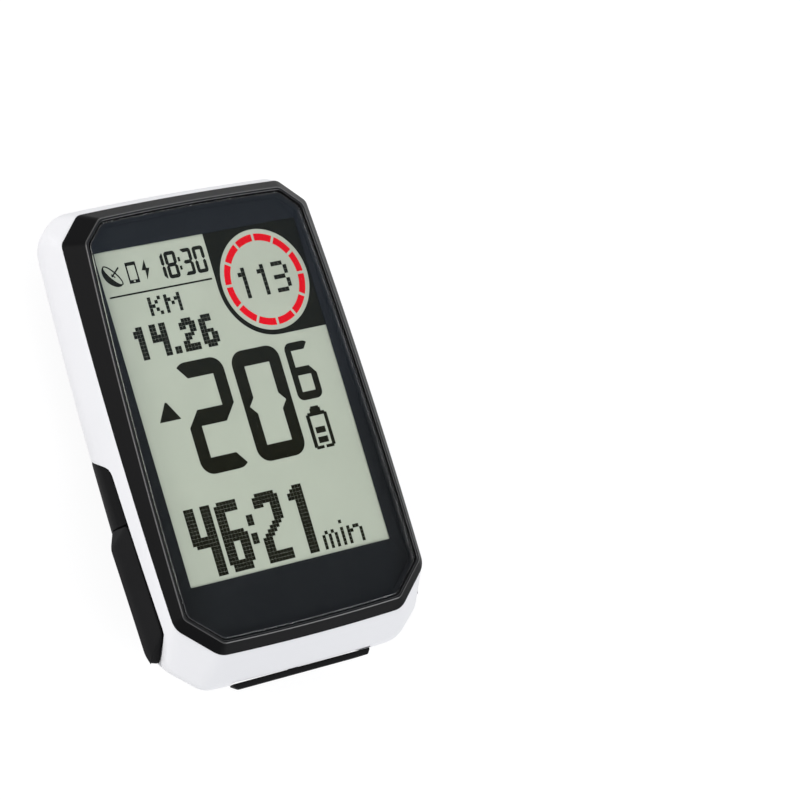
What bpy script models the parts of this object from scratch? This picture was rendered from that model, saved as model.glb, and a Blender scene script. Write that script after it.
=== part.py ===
"""Handlebar cycling computer lying on its back, in metres.

+Z points out of the screen, +Y to the top of the display and +X to its right. The origin is the middle of
the quarter-turn puck's end face, which the unit rests on. Heights are stacked from that face up to the
bezel's rim, and the plan grows outwards from the display's visible area.
"""

from math import copysign, cos, pi, radians, sin, sqrt
from typing import NamedTuple

import bmesh
import bpy
from mathutils import Matrix, Vector

MM = 0.001
DIAGONAL = sqrt(0.5)

# Clearances
SEAT = 0.1 * MM
FIT = 0.15 * MM
RUN = 0.3 * MM
OVERRUN = 2.0 * MM
PAST_SHELL = 20.0 * MM

# Plan of the display and window
DISPLAY_WIDTH = 38.2 * MM
DISPLAY_LENGTH = 53.5 * MM
DISPLAY_CENTRE_Y = 4.0 * MM
WINDOW_BORDER_TOP = 4.55 * MM
WINDOW_BORDER_BOTTOM = 9.05 * MM
WINDOW_BORDER_SIDE_TOP = 1.05 * MM
WINDOW_BORDER_SIDE_BOTTOM = 3.3 * MM
WINDOW_TOP_CUT = (3.2 * MM, 3.1 * MM)
WINDOW_BOTTOM_CUT = (5.7 * MM, 4.8 * MM)

# Plan of the bezel's foot, measured out from the window
RIM_WIDTH = 0.65 * MM
RIM_EDGE = 0.25 * MM
BEZEL_SPREAD_END = 2.3 * MM
BEZEL_SPREAD_SIDE_TOP = 3.3 * MM
BEZEL_SPREAD_SIDE_BOTTOM = 1.9 * MM
BEZEL_TOP_CUT = (4.3 * MM, 4.2 * MM)
BEZEL_BOTTOM_CUT = (6.8 * MM, 5.9 * MM)

# Plan of the shell's widest line, measured out from the bezel's foot
SHELL_SPREAD_TOP = 1.4 * MM
SHELL_SPREAD_BOTTOM = 4.25 * MM
SHELL_SPREAD_SIDE_TOP = 0.1 * MM
SHELL_SPREAD_SIDE_BOTTOM = 0.1 * MM
SHELL_TOP_CUT = (4.2 * MM, 3.6 * MM)
SHELL_BOTTOM_CUT = (5.4 * MM, 4.3 * MM)
SHELL_BACK_INSET = 5.2 * MM
SIDE_BOW = 0.55 * MM
END_BOW = 0.3 * MM
CORNER = 0.9 * MM
SHELL_CORNER = 1.8 * MM
SHELL_CUT_SHARE = 0.5

# Heights, from the puck's end face upwards
PUCK_HEIGHT = 4.7 * MM
BACK_WALL = 1.6 * MM
PAD_THICKNESS = 0.3 * MM
BATTERY_THICKNESS = 3.8 * MM
BATTERY_ROOM = 0.7 * MM
BOARD_THICKNESS = 1.0 * MM
BOARD_TOP_ROOM = 1.7 * MM
TRAY_FLOOR = 0.7 * MM
LIGHT_GUIDE_THICKNESS = 0.9 * MM
POLARISER_THICKNESS = 0.2 * MM
GLASS_THICKNESS = 0.6 * MM
LEDGE_THICKNESS = 0.6 * MM
GASKET_THICKNESS = 0.15 * MM
WINDOW_THICKNESS = 1.0 * MM
RIM_PROUD = 0.15 * MM

# Depths below the window's face
PARTING_DEPTH_TOP = 2.85 * MM
PARTING_DEPTH_BOTTOM = 1.25 * MM
WIDE_DEPTH = 6.5 * MM

# Walls, bezel spigot and seals
WALL = 1.6 * MM
SPIGOT_INSET = 1.3 * MM
SPIGOT_STEP = 0.8 * MM
SPIGOT_WALL = 1.0 * MM
SPIGOT_DEPTH = 3.6 * MM
SPIGOT_STEP_HEIGHT = 1.2 * MM
BACK_EDGE_HEIGHT = 1.8 * MM
SEAL_WIDTH = 0.7 * MM
BACK_SEAL_HEIGHT = 0.8 * MM

# Display stack
TRAY_WALL = 0.45 * MM
DISPLAY_EDGE = 0.5 * MM
DISPLAY_TOP_EDGE = 0.8 * MM
DISPLAY_LEDGE = 3.0 * MM
CONTACT_LEDGE = 1.8 * MM
LAMP_SIZE = (3.0 * MM, 1.2 * MM, 0.7 * MM)
LAMP_X = 9.0 * MM
LEG_SIZE = 4.0 * MM
LEG_INSET = 1.8 * MM
LEG_Y = 8.0 * MM
RIBBON_WIDTH = 12.0 * MM
RIBBON_THICKNESS = 0.12 * MM
RIBBON_REACH = 1.0 * MM
RIBBON_BEND = 0.7 * MM

# Cheeks of the back cover, measured from the shell's lower end, and the side keys set in them
CHEEK_FROM_END = 10.35 * MM
CHEEK_LENGTH = 26.1 * MM
CHEEK_RISE_TOP = 0.4 * MM
CHEEK_RISE_BOTTOM = 1.9 * MM
CHEEK_FLARE = 0.8
CHEEK_CORNER = 1.6 * MM
KEY_LENGTH = 18.2 * MM
KEY_DEPTH = 5.6 * MM
KEY_TRAVEL = 0.4 * MM
KEY_FLOOR_WALL = 0.8 * MM
KEY_PROUD = 1.35 * MM
KEY_CREASE_SHARE = 0.8
KEY_FRONT_SLOPE = 1.0 * MM
KEY_BACK_SLOPE = 1.4 * MM
KEY_TOP_SLOPE = 2.2 * MM
KEY_BOTTOM_SLOPE = 2.0 * MM
KEY_PIN_FROM_END = 11.0 * MM
PIN_RADIUS = 0.8 * MM
KEY_SEAL_RADIUS = 1.7 * MM
KEY_SEAL_THICKNESS = 0.4 * MM

# Bottom key
BOTTOM_KEY_LENGTH = 26.2 * MM
BOTTOM_KEY_HEIGHT = 3.6 * MM
BOTTOM_KEY_DROP = 0.1 * MM
BOTTOM_KEY_PROUD = 0.65 * MM
BOTTOM_KEY_SLOPE = 0.6 * MM
BOTTOM_KEY_UNDERCUT = 1.3 * MM

# Switches on the board
SWITCH_LENGTH = 3.5 * MM
SWITCH_DEPTH = 2.4 * MM
SWITCH_HEIGHT = 1.5 * MM
PLUNGER_LENGTH = 0.6 * MM
PLUNGER_BITE = 0.3 * MM
PLUNGER_WIDTH = 1.5 * MM
PLUNGER_HEIGHT = 0.7 * MM

# Board and what is on it
BOARD_INSET_SIDE = 1.2 * MM
BOARD_INSET_END = 2.2 * MM
SHIELD_SIZE = (20.0 * MM, 18.0 * MM, 1.2 * MM)
SHIELD_Y = 6.0 * MM
CONNECTOR_SIZE = (13.0 * MM, 3.0 * MM, 1.0 * MM)
SATELLITE_ANTENNA_SIZE = (10.0 * MM, 3.6 * MM, 1.4 * MM)
RADIO_ANTENNA_SIZE = (2.6 * MM, 1.4 * MM, 0.8 * MM)
SENSOR_SIZE = (2.5 * MM, 2.5 * MM, 0.9 * MM)
SENSOR_X = -11.0 * MM
BUZZER_RADIUS = 4.0 * MM
BUZZER_HEIGHT = 1.4 * MM
ANTENNA_MARGIN = 0.8 * MM

# Battery and its leads
BATTERY_WIDTH = 30.0 * MM
BATTERY_LENGTH = 36.0 * MM
BATTERY_CENTRE_Y = 6.0 * MM
BATTERY_EDGE = 1.0 * MM
PAD_MARGIN = 4.0 * MM
HEADER_SIZE = (6.0 * MM, 3.0 * MM, 1.9 * MM)
PLUG_SIZE = (5.0 * MM, 2.4 * MM, 1.4 * MM)
PLUG_X = 10.0 * MM
LEAD_ROOM = 3.6 * MM
LEAD_RADIUS = 0.4 * MM
LEAD_SPACING = 1.6 * MM
LEAD_STEPS = 8

# Charging socket and its door
SOCKET_FROM_END = 11.75 * MM
SOCKET_WIDTH = 8.9 * MM
SOCKET_HEIGHT = 3.2 * MM
SOCKET_SHELL = 0.3 * MM
SOCKET_BASE = 0.8 * MM
SOCKET_ROUNDING = 0.9
TONGUE_WIDTH = 6.7 * MM
TONGUE_THICKNESS = 0.7 * MM
TONGUE_RECESS = 1.6 * MM
DOOR_WIDTH = 15.0 * MM
DOOR_MARGIN = 2.7 * MM
DOOR_THICKNESS = 0.9 * MM
DOOR_CORNER = 2.0 * MM
DOOR_PLUG_HEIGHT = 0.8 * MM
DOOR_PLUG_FIT = 0.35 * MM

# Fasteners and their posts
POST_RADIUS = 2.4 * MM
POST_MARGIN = 3.2 * MM
POST_TOP_ROOM = 0.8 * MM
RIB_WIDTH = 1.2 * MM
RIB_LIFT = 1.4 * MM
INSERT_RADIUS = 1.5 * MM
INSERT_BORE = 1.05 * MM
INSERT_LENGTH = 3.6 * MM
INSERT_SINK = 0.6 * MM
CASE_HEAD_RADIUS = 1.7 * MM
CASE_HEAD_HEIGHT = 0.8 * MM
CASE_SHANK_RADIUS = 0.9 * MM
SMALL_HEAD_RADIUS = 1.4 * MM
SMALL_HEAD_HEIGHT = 0.6 * MM
SMALL_SHANK_RADIUS = 0.6 * MM
DRIVE_RADIUS = 0.75 * MM
DRIVE_DEPTH = 0.4 * MM

# Quarter-turn puck and the vent
PUCK_RADIUS = 10.4 * MM
EAR_RADIUS = 13.2 * MM
EAR_THICKNESS = 1.9 * MM
EAR_HALF_ANGLE = radians(33.0)
EAR_LEAD_IN = radians(7.0)
PUCK_SCREW_X = 6.8 * MM
PUCK_HEAD_RADIUS = 1.6 * MM
PUCK_HEAD_HEIGHT = 1.0 * MM
PUCK_HEAD_SINK = 0.4 * MM
PUCK_SHANK_RADIUS = 0.8 * MM
PUCK_SHANK_BITE = 1.1 * MM
VENT_X = 11.0 * MM
VENT_FROM_END = 19.35 * MM
VENT_HOLE_RADIUS = 0.6 * MM
VENT_RADIUS = 2.2 * MM
VENT_THICKNESS = 0.2 * MM

ROUND = 24
ARC_STEPS = 3
EDGE_STEPS = 4
EAR_STEPS = 8
LONGEST_ARC = 0.45


class Octagon(NamedTuple):
    """A tapered octagon about the Y axis: ends, half widths there, and corner cuts as (across, along)."""

    top: float
    bottom: float
    half_top: float
    half_bottom: float
    top_cut: tuple
    bottom_cut: tuple

    def half_at(self, y):
        share = (y - self.bottom) / (self.top - self.bottom)
        return self.half_bottom + share * (self.half_top - self.half_bottom)

    def grown(self, margin, cut_share=1.0):
        """Move every edge out by a margin. A smaller share keeps the cuts longer as the outline shrinks."""
        cut_change = margin * (2.0 - sqrt(2.0)) * cut_share
        return Octagon(
            self.top + margin,
            self.bottom - margin,
            self.half_top + margin,
            self.half_bottom + margin,
            tuple(cut + cut_change for cut in self.top_cut),
            tuple(cut + cut_change for cut in self.bottom_cut),
        )

    def corners(self):
        low_y = self.bottom + self.bottom_cut[1]
        high_y = self.top - self.top_cut[1]
        right = [
            Vector((self.half_bottom - self.bottom_cut[0], self.bottom)),
            Vector((self.half_at(low_y), low_y)),
            Vector((self.half_at(high_y), high_y)),
            Vector((self.half_top - self.top_cut[0], self.top)),
        ]
        return right + [Vector((-p.x, p.y)) for p in reversed(right)]


WINDOW = Octagon(
    DISPLAY_CENTRE_Y + DISPLAY_LENGTH / 2 + WINDOW_BORDER_TOP,
    DISPLAY_CENTRE_Y - DISPLAY_LENGTH / 2 - WINDOW_BORDER_BOTTOM,
    DISPLAY_WIDTH / 2 + WINDOW_BORDER_SIDE_TOP,
    DISPLAY_WIDTH / 2 + WINDOW_BORDER_SIDE_BOTTOM,
    WINDOW_TOP_CUT,
    WINDOW_BOTTOM_CUT,
)
FOOT = Octagon(
    WINDOW.top + BEZEL_SPREAD_END,
    WINDOW.bottom - BEZEL_SPREAD_END,
    WINDOW.half_top + BEZEL_SPREAD_SIDE_TOP,
    WINDOW.half_bottom + BEZEL_SPREAD_SIDE_BOTTOM,
    BEZEL_TOP_CUT,
    BEZEL_BOTTOM_CUT,
)
WIDE = Octagon(
    FOOT.top + SHELL_SPREAD_TOP,
    FOOT.bottom - SHELL_SPREAD_BOTTOM,
    FOOT.half_top + SHELL_SPREAD_SIDE_TOP,
    FOOT.half_bottom + SHELL_SPREAD_SIDE_BOTTOM,
    SHELL_TOP_CUT,
    SHELL_BOTTOM_CUT,
)

# Levels that follow from the stack
Z_BACK = PUCK_HEIGHT + SEAT
Z_FLOOR = Z_BACK + BACK_WALL
Z_BATTERY = Z_FLOOR + SEAT + PAD_THICKNESS + SEAT
Z_BOARD = Z_BATTERY + BATTERY_THICKNESS + BATTERY_ROOM
Z_BOARD_TOP = Z_BOARD + BOARD_THICKNESS
Z_TRAY = Z_BOARD_TOP + BOARD_TOP_ROOM
Z_GUIDE = Z_TRAY + TRAY_FLOOR + SEAT
Z_REAR_POLARISER = Z_GUIDE + LIGHT_GUIDE_THICKNESS + SEAT
Z_REAR_GLASS = Z_REAR_POLARISER + POLARISER_THICKNESS + SEAT
Z_FRONT_GLASS = Z_REAR_GLASS + GLASS_THICKNESS + SEAT
Z_FRONT_POLARISER = Z_FRONT_GLASS + GLASS_THICKNESS + SEAT
Z_LEDGE = Z_FRONT_POLARISER + POLARISER_THICKNESS + SEAT
Z_GASKET = Z_LEDGE + LEDGE_THICKNESS + SEAT
Z_WINDOW = Z_GASKET + GASKET_THICKNESS + SEAT
Z_FACE = Z_WINDOW + WINDOW_THICKNESS
Z_RIM = Z_FACE + RIM_PROUD
Z_WIDE = Z_FACE - WIDE_DEPTH
Z_JOINT = Z_BACK + BACK_EDGE_HEIGHT
Z_INSERT = Z_JOINT + INSERT_SINK
Z_SPIGOT = Z_FACE - PARTING_DEPTH_BOTTOM - SPIGOT_DEPTH
Z_STEP = Z_SPIGOT + SPIGOT_STEP_HEIGHT
Z_SOCKET = Z_BACK + DOOR_THICKNESS + FIT + SEAT
Z_DOOR_AXIS = Z_BACK + DOOR_THICKNESS / 2
Z_SIDE_SWITCH = Z_BOARD_TOP + SEAT + SWITCH_HEIGHT / 2
Z_BOTTOM_SWITCH = Z_BOARD - SEAT - SWITCH_HEIGHT / 2

# Places in plan that follow from the outlines
DISPLAY_TOP = DISPLAY_CENTRE_Y + DISPLAY_LENGTH / 2
DISPLAY_BOTTOM = DISPLAY_CENTRE_Y - DISPLAY_LENGTH / 2
PANEL_HALF = DISPLAY_WIDTH / 2 + DISPLAY_EDGE
PANEL_TOP = DISPLAY_TOP + DISPLAY_TOP_EDGE
PANEL_BOTTOM = DISPLAY_BOTTOM - DISPLAY_LEDGE
TRAY_HALF = PANEL_HALF + SEAT + TRAY_WALL
TRAY_TOP = PANEL_TOP + SEAT + TRAY_WALL
TRAY_BOTTOM = PANEL_BOTTOM - SEAT - TRAY_WALL
BACK_FACE = WIDE.grown(-SHELL_BACK_INSET)
POSTS = [
    (side * (min(BACK_FACE.half_top, BACK_FACE.half_bottom) - POST_MARGIN), y)
    for y in (BACK_FACE.bottom + POST_MARGIN, BACK_FACE.top - POST_MARGIN)
    for side in (-1, 1)
]
BOARD_HALF = min(WIDE.half_top, WIDE.half_bottom) - WALL - BOARD_INSET_SIDE
BOARD_TOP_Y = WIDE.top - WALL - BOARD_INSET_END
BOARD_BOTTOM_Y = WIDE.bottom + WALL + BOARD_INSET_END
LEG_X = TRAY_HALF - LEG_INSET
CHEEK_BOTTOM_Y = WIDE.bottom + CHEEK_FROM_END
CHEEK_TOP_Y = CHEEK_BOTTOM_Y + CHEEK_LENGTH
KEY_TOP_Y = CHEEK_BOTTOM_Y + KEY_LENGTH
KEY_PIN_Y = CHEEK_BOTTOM_Y + KEY_PIN_FROM_END
KEY_BACK_Z = Z_WIDE + CHEEK_RISE_BOTTOM - KEY_DEPTH
VENT_PLACE = (VENT_X, WIDE.bottom + VENT_FROM_END)
SENSOR_PLACE = (SENSOR_X, VENT_PLACE[1])
SOCKET_Y = WIDE.bottom + SOCKET_FROM_END
DOOR_HINGE_Y = SOCKET_Y + SOCKET_HEIGHT / 2 + DOOR_MARGIN
DOOR_FREE_Y = SOCKET_Y - SOCKET_HEIGHT / 2 - DOOR_MARGIN
CONNECTOR_Y = TRAY_BOTTOM + 2 * CONNECTOR_SIZE[1]


def remove_everything():
    for obj in list(bpy.data.objects):
        bpy.data.objects.remove(obj, do_unlink=True)
    for collection in list(bpy.data.collections):
        bpy.data.collections.remove(collection)


remove_everything()
PARTS = bpy.data.collections.new("cycling_computer")
CUTTERS = bpy.data.collections.new("cutters")
bpy.context.scene.collection.children.link(PARTS)
bpy.context.scene.collection.children.link(CUTTERS)


def finish(name, colour, roughness, metallic=0.0):
    """A Principled material in one colour."""
    material = bpy.data.materials.new(name)
    material.use_nodes = True
    shader = material.node_tree.nodes["Principled BSDF"]
    shader.inputs["Base Color"].default_value = (*colour, 1.0)
    shader.inputs["Roughness"].default_value = roughness
    shader.inputs["Metallic"].default_value = metallic
    return material


BLACK_PLASTIC = finish("black_plastic", (0.015, 0.015, 0.017), 0.45)
WHITE_PLASTIC = finish("white_plastic", (0.83, 0.83, 0.85), 0.35)
CLEAR_PLASTIC = finish("clear_plastic", (0.80, 0.83, 0.82), 0.05)
BLACK_RUBBER = finish("black_rubber", (0.012, 0.012, 0.012), 0.8)
GREY_SILICONE = finish("grey_silicone", (0.25, 0.25, 0.26), 0.7)
DISPLAY_GLASS = finish("display_glass", (0.52, 0.56, 0.46), 0.15)
POLARISER_FILM = finish("polariser_film", (0.45, 0.48, 0.40), 0.3)
LIGHT_GUIDE_PLASTIC = finish("light_guide_plastic", (0.75, 0.78, 0.76), 0.2)
TRAY_PLASTIC = finish("tray_plastic", (0.72, 0.72, 0.70), 0.5)
RIBBON_FILM = finish("ribbon_film", (0.42, 0.20, 0.05), 0.4)
BOARD_LAMINATE = finish("board_laminate", (0.01, 0.09, 0.04), 0.45)
TINNED_STEEL = finish("tinned_steel", (0.60, 0.60, 0.58), 0.35, 1.0)
SCREW_STEEL = finish("screw_steel", (0.30, 0.30, 0.31), 0.35, 1.0)
BRASS = finish("brass", (0.65, 0.45, 0.18), 0.35, 1.0)
CERAMIC = finish("ceramic", (0.62, 0.58, 0.50), 0.55)
BATTERY_FOIL = finish("battery_foil", (0.50, 0.51, 0.53), 0.35)
PAD_FOAM = finish("pad_foam", (0.06, 0.06, 0.06), 0.9)
MOULDED_BLACK = finish("moulded_black", (0.02, 0.02, 0.02), 0.5)
RED_WIRE = finish("red_wire", (0.45, 0.02, 0.02), 0.45)
BLACK_WIRE = finish("black_wire", (0.02, 0.02, 0.02), 0.45)
LAMP_PLASTIC = finish("lamp_plastic", (0.85, 0.80, 0.45), 0.3)
VENT_FILM = finish("vent_film", (0.78, 0.78, 0.78), 0.8)


def place(name, mesh, material=None, location=(0, 0, 0)):
    """Put a mesh in the scene: a part where it has a material, and otherwise a cutter."""
    obj = bpy.data.objects.new(name, mesh)
    obj.location = location
    if material:
        mesh.materials.clear()
        mesh.materials.append(material)
        PARTS.objects.link(obj)
    else:
        CUTTERS.objects.link(obj)
        obj.hide_render = True
        obj.display_type = "WIRE"
    return obj


def mesh_from(name, bm):
    bmesh.ops.recalc_face_normals(bm, faces=bm.faces)
    mesh = bpy.data.meshes.new(name)
    bm.to_mesh(mesh)
    bm.free()
    return mesh


def combine(target, other, operation):
    """Add a live Boolean of the other object to the target."""
    modifier = target.modifiers.new(operation.lower(), "BOOLEAN")
    modifier.operation = operation
    modifier.object = other
    modifier.solver = "EXACT"


def cut(target, *others):
    for other in others:
        combine(target, other, "DIFFERENCE")


def unite(target, *others):
    for other in others:
        combine(target, other, "UNION")


def box(name, size, centre, material=None, edge=0.0, location=(0, 0, 0)):
    """A rectangular block about its centre, with its edges rounded off where an edge width is given."""
    bm = bmesh.new()
    bmesh.ops.create_cube(bm, size=1.0)
    bmesh.ops.scale(bm, vec=size, verts=bm.verts)
    if edge:
        bmesh.ops.bevel(
            bm, geom=bm.edges[:], offset=edge, affect="EDGES", segments=2, profile=0.5, clamp_overlap=True
        )
    bmesh.ops.translate(bm, vec=centre, verts=bm.verts)
    return place(name, mesh_from(name, bm), material, location)


def span(low, high):
    """The size and centre of a block between two corners."""
    low = Vector(low)
    high = Vector(high)
    return high - low, (high + low) / 2


def rod(name, radius, start, end, material=None, location=(0, 0, 0)):
    """A round bar between two points."""
    start = Vector(start)
    end = Vector(end)
    bm = bmesh.new()
    bmesh.ops.create_cone(
        bm, cap_ends=True, segments=ROUND, radius1=radius, radius2=radius, depth=(end - start).length
    )
    turn = Vector((0, 0, 1)).rotation_difference(end - start).to_matrix().to_4x4()
    bmesh.ops.transform(bm, matrix=Matrix.Translation((start + end) / 2) @ turn, verts=bm.verts)
    return place(name, mesh_from(name, bm), material, location)


def plate(name, loops, low, high, material=None, location=(0, 0, 0)):
    """A flat outline, with any holes as further loops, thick from one height to another."""
    curve = bpy.data.curves.new(name, "CURVE")
    curve.dimensions = "2D"
    curve.fill_mode = "BOTH"
    curve.extrude = (high - low) / 2
    for loop in loops:
        spline = curve.splines.new("POLY")
        spline.points.add(len(loop) - 1)
        spline.use_cyclic_u = True
        for point, (x, y) in zip(spline.points, loop):
            point.co = (x, y, 0, 1)
    outline_object = bpy.data.objects.new(name + "_outline", curve)
    CUTTERS.objects.link(outline_object)
    depsgraph = bpy.context.evaluated_depsgraph_get()
    mesh = bpy.data.meshes.new_from_object(outline_object.evaluated_get(depsgraph))
    bpy.data.objects.remove(outline_object)
    bm = bmesh.new()
    bm.from_mesh(mesh)
    bmesh.ops.remove_doubles(bm, verts=bm.verts, dist=1e-7)
    bmesh.ops.translate(bm, vec=(0, 0, (low + high) / 2), verts=bm.verts)
    return place(name, mesh_from(name, bm), material, location)


def loft(name, loops, material=None, location=(0, 0, 0)):
    """A closed solid through loops that have as many points each."""
    bm = bmesh.new()
    rings = [[bm.verts.new(point) for point in loop] for loop in loops]
    for lower, upper in zip(rings, rings[1:]):
        for i in range(len(lower)):
            j = (i + 1) % len(lower)
            bm.faces.new((lower[i], lower[j], upper[j], upper[i]))
    bm.faces.new(rings[0])
    bm.faces.new(rings[-1])
    return place(name, mesh_from(name, bm), material, location)


def rounded(corners, corner):
    """A polygon's points with each corner turned into a short arc that starts the given length before it."""
    points = []
    for i, tip in enumerate(corners):
        back = corners[i - 1] - tip
        onward = corners[(i + 1) % len(corners)] - tip
        length = min(corner, back.length * LONGEST_ARC, onward.length * LONGEST_ARC)
        before = tip + back.normalized() * length
        after = tip + onward.normalized() * length
        for step in range(ARC_STEPS + 1):
            t = step / ARC_STEPS
            points.append(before * (1 - t) ** 2 + tip * 2 * t * (1 - t) + after * t**2)
    return points


def outline(octagon, corner=CORNER, side_bow=SIDE_BOW, end_bow=END_BOW):
    """An octagon's plan loop, with rounded corners and long edges that bow outwards."""
    arcs = rounded(octagon.corners(), corner)
    bows = {1: side_bow, 3: end_bow, 5: side_bow, 7: end_bow}
    loop = []
    for i in range(8):
        first = i * (ARC_STEPS + 1)
        loop += arcs[first : first + ARC_STEPS + 1]
        if i in bows:
            start = loop[-1]
            end = arcs[(first + ARC_STEPS + 1) % len(arcs)]
            along = end - start
            outwards = Vector((along.y, -along.x)).normalized()
            for step in range(1, EDGE_STEPS):
                t = step / EDGE_STEPS
                loop.append(start + along * t + outwards * bows[i] * 4 * t * (1 - t))
    return loop


def rectangle(half_width, bottom, top, corner):
    corners = [(half_width, bottom), (half_width, top), (-half_width, top), (-half_width, bottom)]
    return rounded([Vector(point) for point in corners], corner)


def disc(radius, centre=(0, 0)):
    steps = [2 * pi * i / ROUND for i in range(ROUND)]
    return [Vector((centre[0] + radius * cos(a), centre[1] + radius * sin(a))) for a in steps]


def at_height(loop, z):
    return [(p.x, p.y, z) for p in loop]


def parting_z(y):
    """Height of the sloping line where the bezel meets the shell."""
    share = (y - FOOT.bottom) / (FOOT.top - FOOT.bottom)
    return Z_FACE - PARTING_DEPTH_BOTTOM - share * (PARTING_DEPTH_TOP - PARTING_DEPTH_BOTTOM)


def on_parting(loop, lift=0.0):
    return [(p.x, p.y, parting_z(p.y) + lift) for p in loop]


def back_inset(z):
    """How far the shell has curved in at a height below its widest line: a quarter ellipse."""
    share = (Z_WIDE - z) / (Z_WIDE - Z_BACK)
    return SHELL_BACK_INSET * (1 - sqrt(max(0.0, 1 - share**2)))


def wide_half(y):
    """Half width of the shell at its widest line, bow included."""
    low_y = WIDE.bottom + WIDE.bottom_cut[1]
    high_y = WIDE.top - WIDE.top_cut[1]
    share = (y - low_y) / (high_y - low_y)
    return WIDE.half_at(y) + SIDE_BOW * 4 * share * (1 - share)


BACK_SHARES = (1.0, 0.93, 0.8, 0.62, 0.4)


def shell_loops(inset, lowest):
    """Loops of the shell from a lowest height up to its widest line, all moved in by an inset."""
    heights = [Z_WIDE - share * (Z_WIDE - Z_BACK) for share in BACK_SHARES]
    heights = [lowest] + [z for z in heights if z > lowest + SEAT] + [Z_WIDE]
    loops = []
    for z in heights:
        section = WIDE.grown(-inset - back_inset(z), SHELL_CUT_SHARE)
        loops.append(at_height(outline(section, SHELL_CORNER), z))
    return loops


def envelope(name, material):
    """The whole outside of the shell as one solid, from the back face to the bezel's foot."""
    front = on_parting(outline(FOOT), -SEAT / 2)
    return loft(name, shell_loops(0.0, Z_BACK) + [front], material)


def cavity(name):
    """The inside of the shell as a cutter, open to the front."""
    mouth = outline(FOOT.grown(FIT - SPIGOT_INSET))
    loops = shell_loops(WALL, Z_FLOOR) + [at_height(mouth, Z_STEP), at_height(mouth, Z_RIM + OVERRUN)]
    return loft(name, loops)


def cheek_front_z(y):
    """Height of the cheek's front edge."""
    share = (y - CHEEK_BOTTOM_Y) / (CHEEK_TOP_Y - CHEEK_BOTTOM_Y)
    return Z_WIDE + CHEEK_RISE_BOTTOM + share * (CHEEK_RISE_TOP - CHEEK_RISE_BOTTOM)


def cheek_end_y(front_y, z, outwards):
    """Where a slanting end of the cheek lies at a height."""
    return front_y + outwards * CHEEK_FLARE * (cheek_front_z(front_y) - z)


def cheek_profile(gap):
    """A cheek in the YZ plane, grown by a gap. Its ends flare from the front edge to the back of the key's
    pocket, and run straight down to the joint from there."""
    heel_z = KEY_BACK_Z - RUN
    heel_top = cheek_end_y(CHEEK_TOP_Y, heel_z, 1) + gap
    heel_bottom = cheek_end_y(CHEEK_BOTTOM_Y, heel_z, -1) - gap
    ridge = [
        Vector((heel_bottom, heel_z)),
        Vector((CHEEK_BOTTOM_Y - gap, cheek_front_z(CHEEK_BOTTOM_Y) + gap)),
        Vector((CHEEK_TOP_Y + gap, cheek_front_z(CHEEK_TOP_Y) + gap)),
        Vector((heel_top, heel_z)),
    ]
    turned = rounded([Vector((heel_bottom, Z_BACK)), *ridge, Vector((heel_top, Z_BACK))], CHEEK_CORNER)
    crest = turned[2 * (ARC_STEPS + 1) : 4 * (ARC_STEPS + 1)]
    feet = [Vector((heel_bottom, Z_JOINT + gap)), Vector((heel_top, Z_JOINT + gap))]
    return [feet[0], ridge[0], *crest, ridge[3], feet[1]]


def along_x(name, profile, start, end):
    """A cutter with a YZ profile, running along X."""
    return loft(name, [[(x, p.x, p.y) for p in profile] for x in (start, end)])


FAR_X = WIDE.half_bottom + PAST_SHELL
FAR_Y = WIDE.top + PAST_SHELL


def make_bezel():
    """Front frame: a sloping octagonal wall, a rim round the window, its ledge and a stepped spigot."""
    wall_top = WINDOW.grown(RIM_WIDTH)
    rim_top = WINDOW.grown(RIM_WIDTH - RIM_EDGE)
    bezel = loft(
        "front_bezel",
        [
            on_parting(outline(FOOT), SEAT / 2),
            at_height(outline(wall_top), Z_RIM - RIM_EDGE),
            at_height(outline(rim_top), Z_RIM),
        ],
        BLACK_PLASTIC,
    )
    spigot = outline(FOOT.grown(-SPIGOT_INSET))
    tip = outline(FOOT.grown(-SPIGOT_INSET - SPIGOT_STEP))
    unite(bezel, loft("bezel_spigot", [at_height(spigot, Z_STEP), on_parting(spigot, FIT)]))
    unite(bezel, plate("bezel_tip", [tip], Z_SPIGOT, Z_STEP + FIT))
    hollow = outline(FOOT.grown(-SPIGOT_INSET - SPIGOT_STEP - SPIGOT_WALL))
    pocket = outline(WINDOW.grown(FIT))
    seen = rectangle(DISPLAY_WIDTH / 2, DISPLAY_BOTTOM, DISPLAY_TOP, RIM_EDGE)
    bay = rectangle(TRAY_HALF + FIT, TRAY_BOTTOM - FIT, TRAY_TOP + FIT, RIM_EDGE)
    cut(
        bezel,
        plate("window_pocket", [pocket], Z_GASKET - SEAT, Z_RIM + OVERRUN),
        plate("bezel_hollow", [hollow], Z_SPIGOT - OVERRUN, Z_LEDGE),
        plate("tray_bay", [bay], Z_SPIGOT - OVERRUN, Z_LEDGE),
        plate("display_opening", [seen], Z_LEDGE - OVERRUN, Z_RIM + OVERRUN),
    )


def make_window():
    """Clear window with a broken edge, on its black gasket, whose opening is the display's visible area."""
    edged = WINDOW.grown(-RIM_EDGE)
    loft(
        "display_window",
        [
            at_height(outline(WINDOW), Z_WINDOW),
            at_height(outline(WINDOW), Z_FACE - RIM_EDGE),
            at_height(outline(edged), Z_FACE),
        ],
        CLEAR_PLASTIC,
    )
    seen = rectangle(DISPLAY_WIDTH / 2, DISPLAY_BOTTOM, DISPLAY_TOP, RIM_EDGE)
    plate("window_gasket", [outline(edged), seen], Z_GASKET, Z_GASKET + GASKET_THICKNESS, BLACK_RUBBER)


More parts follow.
